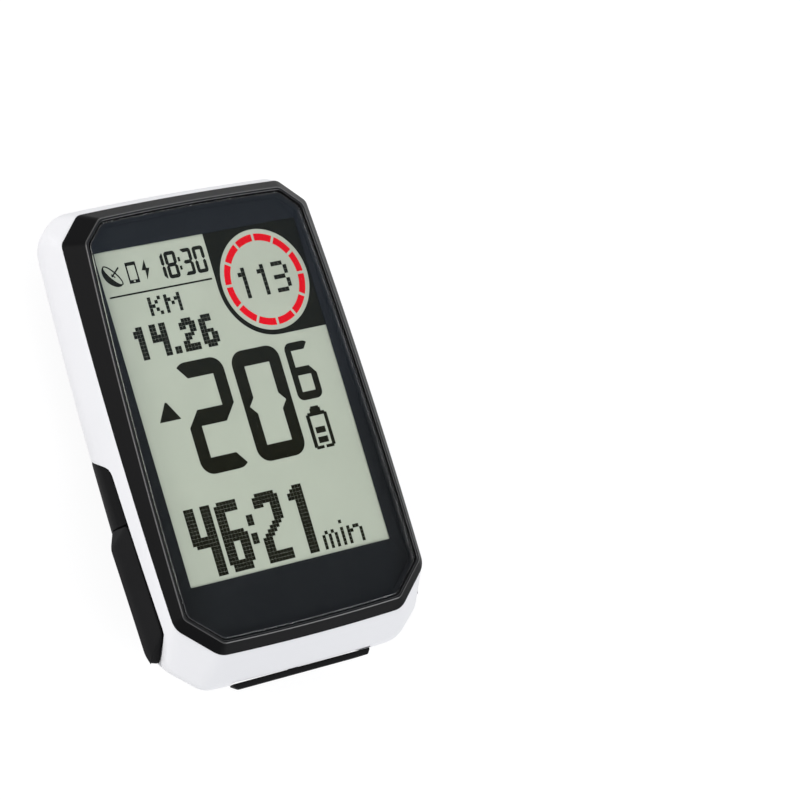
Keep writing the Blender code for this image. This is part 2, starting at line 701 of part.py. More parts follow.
def make_display():
    """Display stack: polarisers, two panes, light guide and lamps, in a tray with legs down to the board."""
    half = PANEL_HALF
    contact_y = PANEL_BOTTOM + CONTACT_LEDGE
    layers = [
        ("front_polariser", Z_FRONT_POLARISER, POLARISER_THICKNESS, DISPLAY_BOTTOM, POLARISER_FILM),
        ("front_glass", Z_FRONT_GLASS, GLASS_THICKNESS, contact_y, DISPLAY_GLASS),
        ("rear_glass", Z_REAR_GLASS, GLASS_THICKNESS, PANEL_BOTTOM, DISPLAY_GLASS),
        ("rear_polariser", Z_REAR_POLARISER, POLARISER_THICKNESS, contact_y, POLARISER_FILM),
        ("light_guide", Z_GUIDE, LIGHT_GUIDE_THICKNESS, contact_y, LIGHT_GUIDE_PLASTIC),
    ]
    for name, z, thickness, bottom, material in layers:
        box(name, *span((-half, bottom, z), (half, PANEL_TOP, z + thickness)), material)
    for name, x in (("left_lamp", -LAMP_X), ("right_lamp", LAMP_X)):
        lamp_y = contact_y - SEAT - LAMP_SIZE[1] / 2
        box(name, LAMP_SIZE, (x, lamp_y, Z_GUIDE + LAMP_SIZE[2] / 2), LAMP_PLASTIC)
    make_tray()


def make_tray():
    wall_top = Z_LEDGE - SEAT
    tray_low = (-TRAY_HALF, TRAY_BOTTOM, Z_TRAY)
    tray_high = (TRAY_HALF, TRAY_TOP, wall_top)
    tray = box("display_tray", *span(tray_low, tray_high), TRAY_PLASTIC)
    for side in (-1, 1):
        for y in (-LEG_Y, LEG_Y):
            low = (side * LEG_X - LEG_SIZE / 2, y - LEG_SIZE / 2, Z_BOARD_TOP + SEAT)
            high = (side * LEG_X + LEG_SIZE / 2, y + LEG_SIZE / 2, Z_TRAY + SEAT)
            unite(tray, box("tray_leg", *span(low, high)))
    inside_low = (-PANEL_HALF - SEAT, PANEL_BOTTOM - SEAT, Z_TRAY + TRAY_FLOOR)
    inside_high = (PANEL_HALF + SEAT, PANEL_TOP + SEAT, wall_top + OVERRUN)
    slot_low = (-RIBBON_WIDTH / 2 - RUN, TRAY_BOTTOM - OVERRUN, Z_FRONT_GLASS - SEAT)
    slot_high = (RIBBON_WIDTH / 2 + RUN, PANEL_BOTTOM + OVERRUN, wall_top + OVERRUN)
    cut(tray, box("tray_inside", *span(inside_low, inside_high)))
    cut(tray, box("tray_slot", *span(slot_low, slot_high)))
    for side in (-1, 1):
        start = (side * LEG_X, LEG_Y, Z_BOARD)
        end = (side * LEG_X, LEG_Y, Z_TRAY)
        cut(tray, rod("leg_hole", SMALL_SHANK_RADIUS + FIT, start, end))


def make_ribbon():
    """Display ribbon: from the rear pane's contact ledge, round the tray's end, to the board connector."""
    top_z = Z_FRONT_GLASS + RIBBON_THICKNESS
    low_z = Z_BOARD_TOP + SEAT + CONNECTOR_SIZE[2] / 2
    outer_y = TRAY_BOTTOM - RIBBON_REACH
    start_y = PANEL_BOTTOM + CONTACT_LEDGE - FIT - POLARISER_THICKNESS
    end_y = CONNECTOR_Y - CONNECTOR_SIZE[1] / 2 - FIT
    route = [Vector(p) for p in ((start_y, top_z), (outer_y, top_z), (outer_y, low_z), (end_y, low_z))]
    arcs = rounded(route, RIBBON_BEND)
    path = [route[0], *arcs[ARC_STEPS + 1 : 3 * (ARC_STEPS + 1)], route[3]]
    bm = bmesh.new()
    edge = [bm.verts.new((-RIBBON_WIDTH / 2, p.x, p.y)) for p in path]
    for first, second in zip(edge, edge[1:]):
        bm.edges.new((first, second))
    swept = bmesh.ops.extrude_edge_only(bm, edges=bm.edges[:])
    new_verts = [item for item in swept["geom"] if isinstance(item, bmesh.types.BMVert)]
    bmesh.ops.translate(bm, vec=(RIBBON_WIDTH, 0, 0), verts=new_verts)
    ribbon = place("display_ribbon", mesh_from("display_ribbon", bm), RIBBON_FILM)
    thicken = ribbon.modifiers.new("thickness", "SOLIDIFY")
    thicken.thickness = RIBBON_THICKNESS
    thicken.offset = 0.0


def make_housing():
    """White middle shell with four screw posts on ribs, notched at the sides for the cover's cheeks."""
    housing = envelope("middle_housing", WHITE_PLASTIC)
    inside = cavity("housing_cavity")
    post_top = Z_TRAY - POST_TOP_ROOM
    for x, y in POSTS:
        post = rod("post", POST_RADIUS, (x, y, Z_BACK), (x, y, post_top))
        outwards = Vector((copysign(DIAGONAL, x), copysign(DIAGONAL, y), 0))
        rib = rib_block("rib", (x, y), outwards, Z_JOINT + RIB_LIFT, post_top)
        cut(inside, post, rib)
    cut(housing, inside)
    far_low = (-FAR_X, -FAR_Y, Z_BACK - OVERRUN)
    cut(housing, box("below_joint", *span(far_low, (FAR_X, FAR_Y, Z_JOINT + SEAT / 2))))
    notch = cheek_profile(SEAT / 2)
    notch = [Vector((notch[0].x, Z_BACK)), *notch, Vector((notch[-1].x, Z_BACK))]
    inner_x = abs(POSTS[0][0]) + POST_RADIUS + RUN
    for side in (-1, 1):
        cut(housing, along_x("cheek_notch", notch, side * inner_x, side * FAR_X))
    for x, y in POSTS:
        hole_top = Z_INSERT + INSERT_LENGTH + RUN
        cut(housing, rod("insert_hole", INSERT_RADIUS + SEAT, (x, y, Z_BACK), (x, y, hole_top)))
    cut(housing, bottom_key_pocket())
    wall_y = bottom_key_floor_y()
    start = (0, wall_y - OVERRUN, Z_BOTTOM_SWITCH)
    end = (0, wall_y + 2 * WALL, Z_BOTTOM_SWITCH)
    cut(housing, rod("bottom_pin_hole", PIN_RADIUS + RUN, start, end))


def rib_block(name, place_xy, outwards, low, high):
    """A web from a post out through the nearest corner of the shell."""
    reach = 2 * SHELL_BACK_INSET + POST_MARGIN
    bm = bmesh.new()
    bmesh.ops.create_cube(bm, size=1.0)
    bmesh.ops.scale(bm, vec=(reach, RIB_WIDTH, high - low), verts=bm.verts)
    bmesh.ops.translate(bm, vec=(reach / 2, 0, (low + high) / 2), verts=bm.verts)
    turn = Vector((1, 0, 0)).rotation_difference(outwards).to_matrix().to_4x4()
    bmesh.ops.transform(bm, matrix=Matrix.Translation((*place_xy, 0)) @ turn, verts=bm.verts)
    return place(name, mesh_from(name, bm))


def make_back_cover():
    """Black back cover: a lid with the socket's port, and a cheek each side that holds a key."""
    cover = envelope("back_cover", BLACK_PLASTIC)
    cut(cover, cavity("cover_cavity"))
    profile = cheek_profile(-SEAT / 2)
    above = [Vector((-FAR_Y, Z_RIM + OVERRUN)), Vector((-FAR_Y, Z_JOINT - SEAT / 2)), *profile]
    above += [Vector((FAR_Y, Z_JOINT - SEAT / 2)), Vector((FAR_Y, Z_RIM + OVERRUN))]
    cut(cover, along_x("above_joint", above, -FAR_X, FAR_X))
    for side in (-1, 1):
        cut(cover, side_key_pocket(side))
        inner = (side * (wide_half(KEY_PIN_Y) - 2 * WALL), KEY_PIN_Y, Z_SIDE_SWITCH)
        outer = (side * (wide_half(KEY_PIN_Y) + WALL), KEY_PIN_Y, Z_SIDE_SWITCH)
        cut(cover, rod("side_pin_hole", PIN_RADIUS + RUN, inner, outer))
    low = Z_BACK - OVERRUN
    high = Z_FLOOR + OVERRUN
    for x, y in POSTS:
        sink = Z_BACK + CASE_HEAD_HEIGHT + SEAT
        cut(cover, rod("head_sink", CASE_HEAD_RADIUS + FIT, (x, y, low), (x, y, sink)))
        cut(cover, rod("shank_hole", CASE_SHANK_RADIUS + FIT, (x, y, low), (x, y, high)))
    for side in (-1, 1):
        x = side * PUCK_SCREW_X
        end = Z_BACK + PUCK_SHANK_BITE + SEAT
        cut(cover, rod("puck_hole", PUCK_SHANK_RADIUS + SEAT, (x, 0, low), (x, 0, end)))
    cut(cover, rod("vent_hole", VENT_HOLE_RADIUS, (*VENT_PLACE, low), (*VENT_PLACE, high)))
    port = socket_outline(FIT)
    cut(cover, plate("socket_port", [port], low, high))
    top = DOOR_HINGE_Y + DOOR_THICKNESS / 2 + RUN
    recess = rectangle(DOOR_WIDTH / 2 + RUN, DOOR_FREE_Y - RUN, top, DOOR_CORNER)
    cut(cover, plate("door_recess", [recess], low, Z_BACK + DOOR_THICKNESS + FIT))
    film_low = (*VENT_PLACE, Z_FLOOR + SEAT)
    film_high = (*VENT_PLACE, Z_FLOOR + SEAT + VENT_THICKNESS)
    rod("vent_membrane", VENT_RADIUS, film_low, film_high, VENT_FILM)


def make_seals():
    """Silicone rings: one in the step of the bezel's spigot, one inside the joint of the back cover."""
    outer = outline(FOOT.grown(-SPIGOT_INSET))
    inner = outline(FOOT.grown(SEAT - SPIGOT_INSET - SPIGOT_STEP))
    plate("bezel_seal", [outer, inner], Z_SPIGOT + SEAT, Z_STEP - SEAT, GREY_SILICONE)
    low = Z_FLOOR + SEAT
    inset = WALL + back_inset(low) + FIT
    outer = outline(WIDE.grown(-inset, SHELL_CUT_SHARE), SHELL_CORNER)
    inner = outline(WIDE.grown(-inset - SEAL_WIDTH, SHELL_CUT_SHARE), SHELL_CORNER)
    plate("back_seal", [outer, inner], low, low + BACK_SEAL_HEIGHT, GREY_SILICONE)


def side_key_plan(margin):
    """A side key's foot in the YZ plane, grown by a margin."""
    back_z = KEY_BACK_Z - margin
    low_front = Vector((CHEEK_BOTTOM_Y + RUN - margin, cheek_front_z(CHEEK_BOTTOM_Y) - RUN + margin))
    low_back = Vector((cheek_end_y(CHEEK_BOTTOM_Y, back_z, -1) + RUN - margin, back_z))
    top_front = Vector((KEY_TOP_Y + margin, cheek_front_z(KEY_TOP_Y) - RUN + margin))
    top_back = Vector((KEY_TOP_Y + margin, back_z))
    return [low_back, low_front, top_front, top_back]


def key_floor_x():
    """Where the floor of a side key's pocket lies."""
    return wide_half(KEY_PIN_Y) - WALL + KEY_FLOOR_WALL


def side_key_pocket(side):
    outer = side * (wide_half(KEY_PIN_Y) + OVERRUN)
    inner = side * key_floor_x()
    corners = side_key_plan(RUN)
    return along_x("side_key_pocket", corners, inner, outer)


def make_side_key(name, side):
    """Side key with a sloping front facet, an outer facet and a pin that reaches its switch."""
    foot = side_key_plan(0.0)
    slopes = [
        Vector((KEY_BOTTOM_SLOPE, KEY_BACK_SLOPE)),
        Vector((KEY_BOTTOM_SLOPE, -KEY_FRONT_SLOPE)),
        Vector((-KEY_TOP_SLOPE, -KEY_FRONT_SLOPE)),
        Vector((-KEY_TOP_SLOPE, KEY_BACK_SLOPE)),
    ]
    inner = key_floor_x() + SEAT + KEY_TRAVEL
    flush = wide_half(KEY_PIN_Y)
    crest = flush + KEY_PROUD
    crease = flush + KEY_PROUD * KEY_CREASE_SHARE
    levels = [(inner, 0.0), (flush, 0.0), (crease, KEY_CREASE_SHARE), (crest, 1.0)]
    home = Vector((side * flush, KEY_PIN_Y, Z_SIDE_SWITCH))
    loops = []
    for x, share in levels:
        corners = [corner + slope * share for corner, slope in zip(foot, slopes)]
        loops.append([Vector((side * x, p.x, p.y)) - home for p in rounded(corners, KEY_FRONT_SLOPE / 2)])
    key = loft(name, loops, BLACK_RUBBER, home)
    pin_end = BOARD_HALF + PLUNGER_LENGTH + SEAT
    start = Vector((side * pin_end, KEY_PIN_Y, Z_SIDE_SWITCH)) - home
    end = Vector((side * (inner + SEAT), KEY_PIN_Y, Z_SIDE_SWITCH)) - home
    unite(key, rod(name + "_pin", PIN_RADIUS, start, end, None, home))
    wall = wide_half(KEY_PIN_Y) - WALL - FIT - back_inset(Z_SIDE_SWITCH - KEY_SEAL_RADIUS)
    seal_outer = Vector((side * wall, KEY_PIN_Y, Z_SIDE_SWITCH))
    seal_inner = Vector((side * (wall - KEY_SEAL_THICKNESS), KEY_PIN_Y, Z_SIDE_SWITCH))
    seal = rod(name + "_seal", KEY_SEAL_RADIUS, seal_inner, seal_outer, GREY_SILICONE)
    past = Vector((side * OVERRUN, 0, 0))
    cut(seal, rod(name + "_seal_bore", PIN_RADIUS + SEAT, seal_inner - past, seal_outer + past))


def bottom_key_floor_y():
    return WIDE.bottom - END_BOW + WALL - KEY_FLOOR_WALL


def bottom_key_levels():
    top = Z_WIDE - BOTTOM_KEY_DROP
    return top - BOTTOM_KEY_HEIGHT, top


def bottom_key_pocket():
    low, high = bottom_key_levels()
    half = BOTTOM_KEY_LENGTH / 2 + RUN
    floor = bottom_key_floor_y()
    corner_low = (-half, floor - 2 * OVERRUN, low - RUN)
    corner_high = (half, floor, high + RUN)
    return box("bottom_key_pocket", *span(corner_low, corner_high))


def make_bottom_key():
    """Bottom key: a long bar with slanting ends, an undercut back edge and a pin that reaches its switch."""
    low, high = bottom_key_levels()
    half = BOTTOM_KEY_LENGTH / 2
    edge = WIDE.bottom - END_BOW
    inner = bottom_key_floor_y() - SEAT - KEY_TRAVEL
    crest = edge - BOTTOM_KEY_PROUD
    home = Vector((0, edge, Z_BOTTOM_SWITCH))
    loops = []
    for y, share in ((inner, 0.0), (edge, 0.0), (crest, 1.0)):
        right = half - BOTTOM_KEY_SLOPE * share
        rise = BOTTOM_KEY_UNDERCUT * share
        corners = [(-right, low + rise), (right, low + rise), (right, high), (-right, high)]
        turned = rounded([Vector(corner) for corner in corners], BOTTOM_KEY_SLOPE)
        loops.append([Vector((p.x, y, p.y)) - home for p in turned])
    key = loft("bottom_key", loops, BLACK_RUBBER, home)
    start = Vector((0, inner - SEAT, Z_BOTTOM_SWITCH)) - home
    end = Vector((0, BOARD_BOTTOM_Y - PLUNGER_LENGTH - SEAT, Z_BOTTOM_SWITCH)) - home
    unite(key, rod("bottom_key_pin", PIN_RADIUS, start, end, None, home))
    wall = edge + back_inset(Z_BOTTOM_SWITCH - KEY_SEAL_RADIUS) + WALL + FIT + END_BOW
    seal_low = (0, wall, Z_BOTTOM_SWITCH)
    seal_high = (0, wall + KEY_SEAL_THICKNESS, Z_BOTTOM_SWITCH)
    seal = rod("bottom_key_seal", KEY_SEAL_RADIUS, seal_low, seal_high, GREY_SILICONE)
    bore_end = (0, wall + OVERRUN, Z_BOTTOM_SWITCH)
    cut(seal, rod("bottom_key_seal_bore", PIN_RADIUS + SEAT, (0, wall - OVERRUN, Z_BOTTOM_SWITCH), bore_end))


def facing(outwards, depth, length, height):
    """The size of a block whose depth lies along a direction in plan."""
    return (depth, length, height) if outwards.x else (length, depth, height)


def make_switch(name, outwards, edge):
    """A side-push switch at the board's edge, with a pocket for the plunger that a key's pin pushes."""
    body = facing(outwards, SWITCH_DEPTH, SWITCH_LENGTH, SWITCH_HEIGHT)
    switch = box(name + "_switch", body, edge - outwards * SWITCH_DEPTH / 2, TINNED_STEEL, SEAT)
    depth = PLUNGER_BITE + KEY_TRAVEL + SEAT
    room = facing(outwards, 2 * depth, PLUNGER_WIDTH + 2 * FIT, PLUNGER_HEIGHT + 2 * FIT)
    cut(switch, box(name + "_switch_pocket", room, edge))
    stem = facing(outwards, PLUNGER_LENGTH + PLUNGER_BITE, PLUNGER_WIDTH, PLUNGER_HEIGHT)
    middle = outwards * (PLUNGER_LENGTH - PLUNGER_BITE) / 2
    box(name + "_plunger", stem, middle, MOULDED_BLACK, 0.0, edge)


def make_switches():
    for name, side in (("left", -1), ("right", 1)):
        make_switch(name, Vector((side, 0, 0)), Vector((side * BOARD_HALF, KEY_PIN_Y, Z_SIDE_SWITCH)))
    make_switch("bottom", Vector((0, -1, 0)), Vector((0, BOARD_BOTTOM_Y, Z_BOTTOM_SWITCH)))


def board_outline():
    """The board's plan: a rectangle whose corners are cut off clear of the screw posts."""
    keep_off = (POST_RADIUS + RUN) / DIAGONAL
    post_x = abs(POSTS[0][0])
    low_sum = post_x - POSTS[0][1] - keep_off
    high_sum = post_x + POSTS[-1][1] - keep_off
    low = BOARD_BOTTOM_Y
    high = BOARD_TOP_Y
    right = [(low_sum + low, low), (BOARD_HALF, BOARD_HALF - low_sum), (BOARD_HALF, high_sum - BOARD_HALF)]
    right.append((high_sum - high, high))
    corners = [Vector(p) for p in right] + [Vector((-x, y)) for x, y in reversed(right)]
    return rounded(corners, CORNER)


def make_board():
    """Main board with its shield can, connector, antennas, pressure sensor and buzzer."""
    holes = [disc(SMALL_SHANK_RADIUS + FIT, (side * LEG_X, LEG_Y)) for side in (-1, 1)]
    plate("main_board", [board_outline(), *holes], Z_BOARD, Z_BOARD_TOP, BOARD_LAMINATE)
    top_z = Z_BOARD_TOP + SEAT
    under_z = Z_BOARD - SEAT
    box("shield_can", SHIELD_SIZE, (0, SHIELD_Y, top_z + SHIELD_SIZE[2] / 2), TINNED_STEEL, RIM_EDGE)
    connector_centre = (0, CONNECTOR_Y, top_z + CONNECTOR_SIZE[2] / 2)
    box("ribbon_connector", CONNECTOR_SIZE, connector_centre, MOULDED_BLACK, SEAT)
    antenna_y = BOARD_TOP_Y - ANTENNA_MARGIN - SATELLITE_ANTENNA_SIZE[1] / 2
    antenna_x = -(RADIO_ANTENNA_SIZE[0] + ANTENNA_MARGIN) / 2
    antenna_z = top_z + SATELLITE_ANTENNA_SIZE[2] / 2
    box("satellite_antenna", SATELLITE_ANTENNA_SIZE, (antenna_x, antenna_y, antenna_z), CERAMIC, SEAT)
    radio_x = (SATELLITE_ANTENNA_SIZE[0] + ANTENNA_MARGIN) / 2
    box("radio_antenna", RADIO_ANTENNA_SIZE, (radio_x, antenna_y, top_z + RADIO_ANTENNA_SIZE[2] / 2), CERAMIC)
    box("pressure_sensor", SENSOR_SIZE, (*SENSOR_PLACE, under_z - SENSOR_SIZE[2] / 2), TINNED_STEEL, SEAT)
    buzzer_y = BATTERY_CENTRE_Y + BATTERY_LENGTH / 2 + RUN + BUZZER_RADIUS
    buzzer_low = (0, buzzer_y, under_z - BUZZER_HEIGHT)
    rod("buzzer", BUZZER_RADIUS, buzzer_low, (0, buzzer_y, under_z), MOULDED_BLACK)


def make_battery():
    """Pouch battery on its foam pad, with two leads to a plug beside the board's header."""
    low = Z_BATTERY
    size = (BATTERY_WIDTH, BATTERY_LENGTH, BATTERY_THICKNESS)
    box("battery", size, (0, BATTERY_CENTRE_Y, low + BATTERY_THICKNESS / 2), BATTERY_FOIL, BATTERY_EDGE)
    pad_size = (BATTERY_WIDTH - PAD_MARGIN, BATTERY_LENGTH - PAD_MARGIN, PAD_THICKNESS)
    box("battery_pad", pad_size, (0, BATTERY_CENTRE_Y, Z_FLOOR + SEAT + PAD_THICKNESS / 2), PAD_FOAM)
    battery_end = BATTERY_CENTRE_Y - BATTERY_LENGTH / 2
    plug_end = battery_end - LEAD_ROOM
    header_top = Z_BOARD - SEAT
    plug_z = header_top - HEADER_SIZE[2] / 2
    box("battery_plug", PLUG_SIZE, (PLUG_X, plug_end - PLUG_SIZE[1] / 2, plug_z), MOULDED_BLACK, SEAT)
    header_y = plug_end - PLUG_SIZE[1] - SEAT - HEADER_SIZE[1] / 2
    box("battery_header", HEADER_SIZE, (PLUG_X, header_y, plug_z), TRAY_PLASTIC, SEAT)
    for name, side, material in (("red_lead", -1, RED_WIRE), ("black_lead", 1, BLACK_WIRE)):
        x = PLUG_X + side * LEAD_SPACING / 2
        start = Vector((x, plug_end + FIT, plug_z))
        end = Vector((x, battery_end - FIT, low + BATTERY_THICKNESS / 2))
        lead(name, start, end, material)


def lead(name, start, end, material):
    """A short wire that leaves both ends straight and crosses between their heights."""
    curve = bpy.data.curves.new(name, "CURVE")
    curve.dimensions = "3D"
    curve.bevel_depth = LEAD_RADIUS
    curve.bevel_resolution = 2
    curve.use_fill_caps = True
    spline = curve.splines.new("POLY")
    spline.points.add(LEAD_STEPS)
    for i, point in enumerate(spline.points):
        t = i / LEAD_STEPS
        eased = t * t * (3 - 2 * t)
        point.co = (start.x, start.y + t * (end.y - start.y), start.z + eased * (end.z - start.z), 1)
    obj = bpy.data.objects.new(name, curve)
    curve.materials.append(material)
    PARTS.objects.link(obj)


def socket_outline(margin):
    """The charging socket's mouth in plan, a slot with round ends, grown by a margin."""
    half = SOCKET_WIDTH / 2 + margin
    end = SOCKET_HEIGHT / 2 + margin
    return rectangle(half, SOCKET_Y - end, SOCKET_Y + end, end * SOCKET_ROUNDING)


def make_socket():
    """Upright charging socket under the board: a steel shell that opens at the back, and its tongue."""
    top = Z_BOARD - SEAT
    shell = plate("charging_socket", [socket_outline(0.0)], Z_SOCKET, top, TINNED_STEEL)
    cut(shell, plate("socket_mouth", [socket_outline(-SOCKET_SHELL)], Z_SOCKET - OVERRUN, top - SOCKET_BASE))
    tongue_low = (-TONGUE_WIDTH / 2, SOCKET_Y - TONGUE_THICKNESS / 2, Z_SOCKET + TONGUE_RECESS)
    tongue_high = (TONGUE_WIDTH / 2, SOCKET_Y + TONGUE_THICKNESS / 2, top - SOCKET_BASE - SEAT)
    box("socket_tongue", *span(tongue_low, tongue_high), MOULDED_BLACK)


def make_door():
    """Rubber door over the socket, hinged along its upper edge, with a plug that enters the mouth."""
    home = Vector((0, DOOR_HINGE_Y, Z_DOOR_AXIS))
    leaf = rectangle(DOOR_WIDTH / 2, DOOR_FREE_Y - home.y, 0.0, DOOR_CORNER)
    half = DOOR_THICKNESS / 2
    door = plate("socket_door", [leaf], -half, half, BLACK_RUBBER, home)
    barrel = DOOR_WIDTH / 2 - DOOR_CORNER
    unite(door, rod("door_barrel", half, (-barrel, 0, 0), (barrel, 0, 0), None, home))
    mouth = socket_outline(-SOCKET_SHELL - DOOR_PLUG_FIT)
    plug = [point - Vector((home.x, home.y)) for point in mouth]
    plug_top = Z_SOCKET + DOOR_PLUG_HEIGHT - home.z
    unite(door, plate("door_plug", [plug], half - SEAT, plug_top, None, home))


def screw(name, base, head, shank_radius, shank_length):
    """A screw that points up: its head's radius and height, then its shank, with a socket in the head."""
    x, y, low = base
    head_radius, head_height = head
    high = low + head_height
    obj = rod(name, head_radius, base, (x, y, high), SCREW_STEEL)
    unite(obj, rod(name + "_shank", shank_radius, (x, y, high - SEAT), (x, y, high + shank_length)))
    cut(obj, rod(name + "_drive", DRIVE_RADIUS, (x, y, low - OVERRUN), (x, y, low + DRIVE_DEPTH)))


def make_fasteners():
    """Case screws in brass inserts, board screws into the tray's legs, and the puck's screws."""
    for i, (x, y) in enumerate(POSTS, 1):
        shank = Z_INSERT + INSERT_LENGTH - RUN - Z_BACK - SEAT - CASE_HEAD_HEIGHT
        start = (x, y, Z_BACK + SEAT / 2)
        head = (CASE_HEAD_RADIUS, CASE_HEAD_HEIGHT)
        screw(f"case_screw_{i}", start, head, CASE_SHANK_RADIUS, shank)
        loops = [disc(INSERT_RADIUS, (x, y)), disc(INSERT_BORE, (x, y))]
        plate(f"thread_insert_{i}", loops, Z_INSERT, Z_INSERT + INSERT_LENGTH, BRASS)
    for name, side in (("left_board_screw", -1), ("right_board_screw", 1)):
        start = (side * LEG_X, LEG_Y, Z_BOARD - SEAT - SMALL_HEAD_HEIGHT)
        shank = SEAT + BOARD_THICKNESS + BOARD_TOP_ROOM - RUN
        screw(name, start, (SMALL_HEAD_RADIUS, SMALL_HEAD_HEIGHT), SMALL_SHANK_RADIUS, shank)
    for name, side in (("left_puck_screw", -1), ("right_puck_screw", 1)):
        start = (side * PUCK_SCREW_X, 0, PUCK_HEAD_SINK)
        shank = Z_BACK + PUCK_SHANK_BITE - PUCK_HEAD_SINK - PUCK_HEAD_HEIGHT
        screw(name, start, (PUCK_HEAD_RADIUS, PUCK_HEAD_HEIGHT), PUCK_SHANK_RADIUS, shank)


def ear_outline():
    """The puck's end in plan: a disc with an ear at the top and at the bottom, each with slanting ends."""
    loop = []
    for middle in (pi / 2, 3 * pi / 2):
        reach = EAR_HALF_ANGLE + EAR_LEAD_IN
        for step in range(EAR_STEPS + 1):
            angle = middle + EAR_HALF_ANGLE * (2 * step / EAR_STEPS - 1)
            loop.append(Vector((EAR_RADIUS * cos(angle), EAR_RADIUS * sin(angle))))
        gap = pi - 2 * reach
        for step in range(EAR_STEPS + 1):
            angle = middle + reach + gap * step / EAR_STEPS
            loop.append(Vector((PUCK_RADIUS * cos(angle), PUCK_RADIUS * sin(angle))))
    return loop


def make_puck():
    """Quarter-turn puck: a round stem whose two ears lock under the lips of a bracket."""
    puck = plate("mount_puck", [ear_outline()], 0.0, EAR_THICKNESS, BLACK_PLASTIC)
    unite(puck, plate("puck_stem", [disc(PUCK_RADIUS - SEAT)], EAR_THICKNESS / 2, PUCK_HEIGHT))
    for side in (-1, 1):
        x = side * PUCK_SCREW_X
        sink = PUCK_HEAD_SINK + PUCK_HEAD_HEIGHT + SEAT
        cut(puck, rod("puck_head_sink", PUCK_HEAD_RADIUS + FIT, (x, 0, -OVERRUN), (x, 0, sink)))
        above = (x, 0, PUCK_HEIGHT + OVERRUN)
        cut(puck, rod("puck_shank_hole", PUCK_SHANK_RADIUS + FIT, (x, 0, -OVERRUN), above))


make_bezel()
make_window()
make_display()
make_ribbon()
make_housing()
make_back_cover()
make_seals()
make_side_key("left_key", -1)
make_side_key("right_key", 1)
make_bottom_key()
make_switches()
make_board()
make_battery()
make_socket()
make_door()
make_fasteners()
make_puck()
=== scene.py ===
from math import asin, cos, pi, radians, sin, sqrt, tau

import bmesh
import bpy
from mathutils import Matrix, Vector


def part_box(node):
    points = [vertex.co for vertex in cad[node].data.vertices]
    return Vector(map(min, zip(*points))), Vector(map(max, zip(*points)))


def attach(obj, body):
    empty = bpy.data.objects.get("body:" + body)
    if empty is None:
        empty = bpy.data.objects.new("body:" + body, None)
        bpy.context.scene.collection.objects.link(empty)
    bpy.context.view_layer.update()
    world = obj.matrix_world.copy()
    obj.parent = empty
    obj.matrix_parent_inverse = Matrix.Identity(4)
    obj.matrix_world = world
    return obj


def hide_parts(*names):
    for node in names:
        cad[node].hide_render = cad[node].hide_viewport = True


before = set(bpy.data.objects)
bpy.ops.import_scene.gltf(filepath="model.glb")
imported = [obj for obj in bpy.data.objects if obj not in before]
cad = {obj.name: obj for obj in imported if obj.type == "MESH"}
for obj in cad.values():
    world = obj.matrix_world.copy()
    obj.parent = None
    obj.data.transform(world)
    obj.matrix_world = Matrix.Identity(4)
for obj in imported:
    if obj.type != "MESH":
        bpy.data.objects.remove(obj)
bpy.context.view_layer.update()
MM = 0.001


# Camera: a long lens above the unit's left side, so that the left flank and the lower end show beside the
# face. It stands about 0.6 m away and turns the unit a little anticlockwise in the picture.
CAMERA_PLACE = Vector((-329.6, -59.47, 503.94)) * MM
CAMERA_RIGHT = Vector((0.78671, -0.2858, 0.54718))
CAMERA_UP = Vector((0.17658, 0.95353, 0.24415))
CAMERA_LENS = 170.0
CAMERA_SENSOR = 36.0

camera_lens = bpy.data.cameras.new("camera")
camera_lens.lens = CAMERA_LENS
camera_lens.sensor_width = CAMERA_SENSOR
camera = bpy.data.objects.new("camera", camera_lens)
bpy.context.scene.collection.objects.link(camera)
camera_turn = Matrix((CAMERA_RIGHT, CAMERA_UP, CAMERA_RIGHT.cross(CAMERA_UP))).transposed()
camera.matrix_world = Matrix.Translation(CAMERA_PLACE) @ camera_turn.to_4x4()
bpy.context.scene.camera = camera
bpy.context.scene.view_settings.view_transform = "Standard"


# Studio: a white floor under the puck, a dome that is white at the horizon and dimmer overhead, soft lamps
# at plain strength, and a dark card that brightens upwards, which the window mirrors. The floor glows to the
# eye and to reflections, so that it reads white and still keeps a little of the unit's shadow.
FLOOR_SIZE = 8.0
FLOOR_CLEAR = 0.05 * MM
FLOOR_COLOUR = (0.80, 0.80, 0.81, 1.0)
FLOOR_SHADED = (0.20, 0.20, 0.205, 1.0)
FLOOR_GLOW = 0.88
DOME_COLOUR = (0.98, 0.99, 1.0, 1.0)
DOME_HORIZON = 1.0
DOME_OVERHEAD = 0.55
DOME_FADE = (0.10, 0.55)
CARD_CENTRE = Vector((330.0, 80.0, 500.0)) * MM
CARD_HALF = 230.0 * MM
CARD_FADE = (10.0 * MM, 150.0 * MM)
CARD_COLOUR = (0.5, 0.68, 1.0, 1.0)
CARD_STRENGTH = 0.2


def empty_tree(owner):
    owner.use_nodes = True
    owner.node_tree.nodes.clear()
    return owner.node_tree


def feed(tree, node, inputs):
    """Set a node's inputs to values, or join them to the outputs of other nodes."""
    for place, value in inputs.items():
        if isinstance(value, bpy.types.NodeSocket):
            tree.links.new(value, node.inputs[place])
        else:
            node.inputs[place].default_value = value
    return node


def add(tree, kind, inputs):
    return feed(tree, tree.nodes.new("ShaderNode" + kind), inputs)


def fading(tree, coordinates, axis, span, start, end):
    """A strength that runs smoothly from a start to an end over a span of one axis."""
    split = add(tree, "SeparateXYZ", {0: add(tree, "TexCoord", {}).outputs[coordinates]})
    ends = {"From Min": span[0], "From Max": span[1], "To Min": start, "To Max": end}
    fade = add(tree, "MapRange", {"Value": split.outputs[axis], **ends})
    fade.interpolation_type = "SMOOTHSTEP"
    return fade.outputs["Result"]


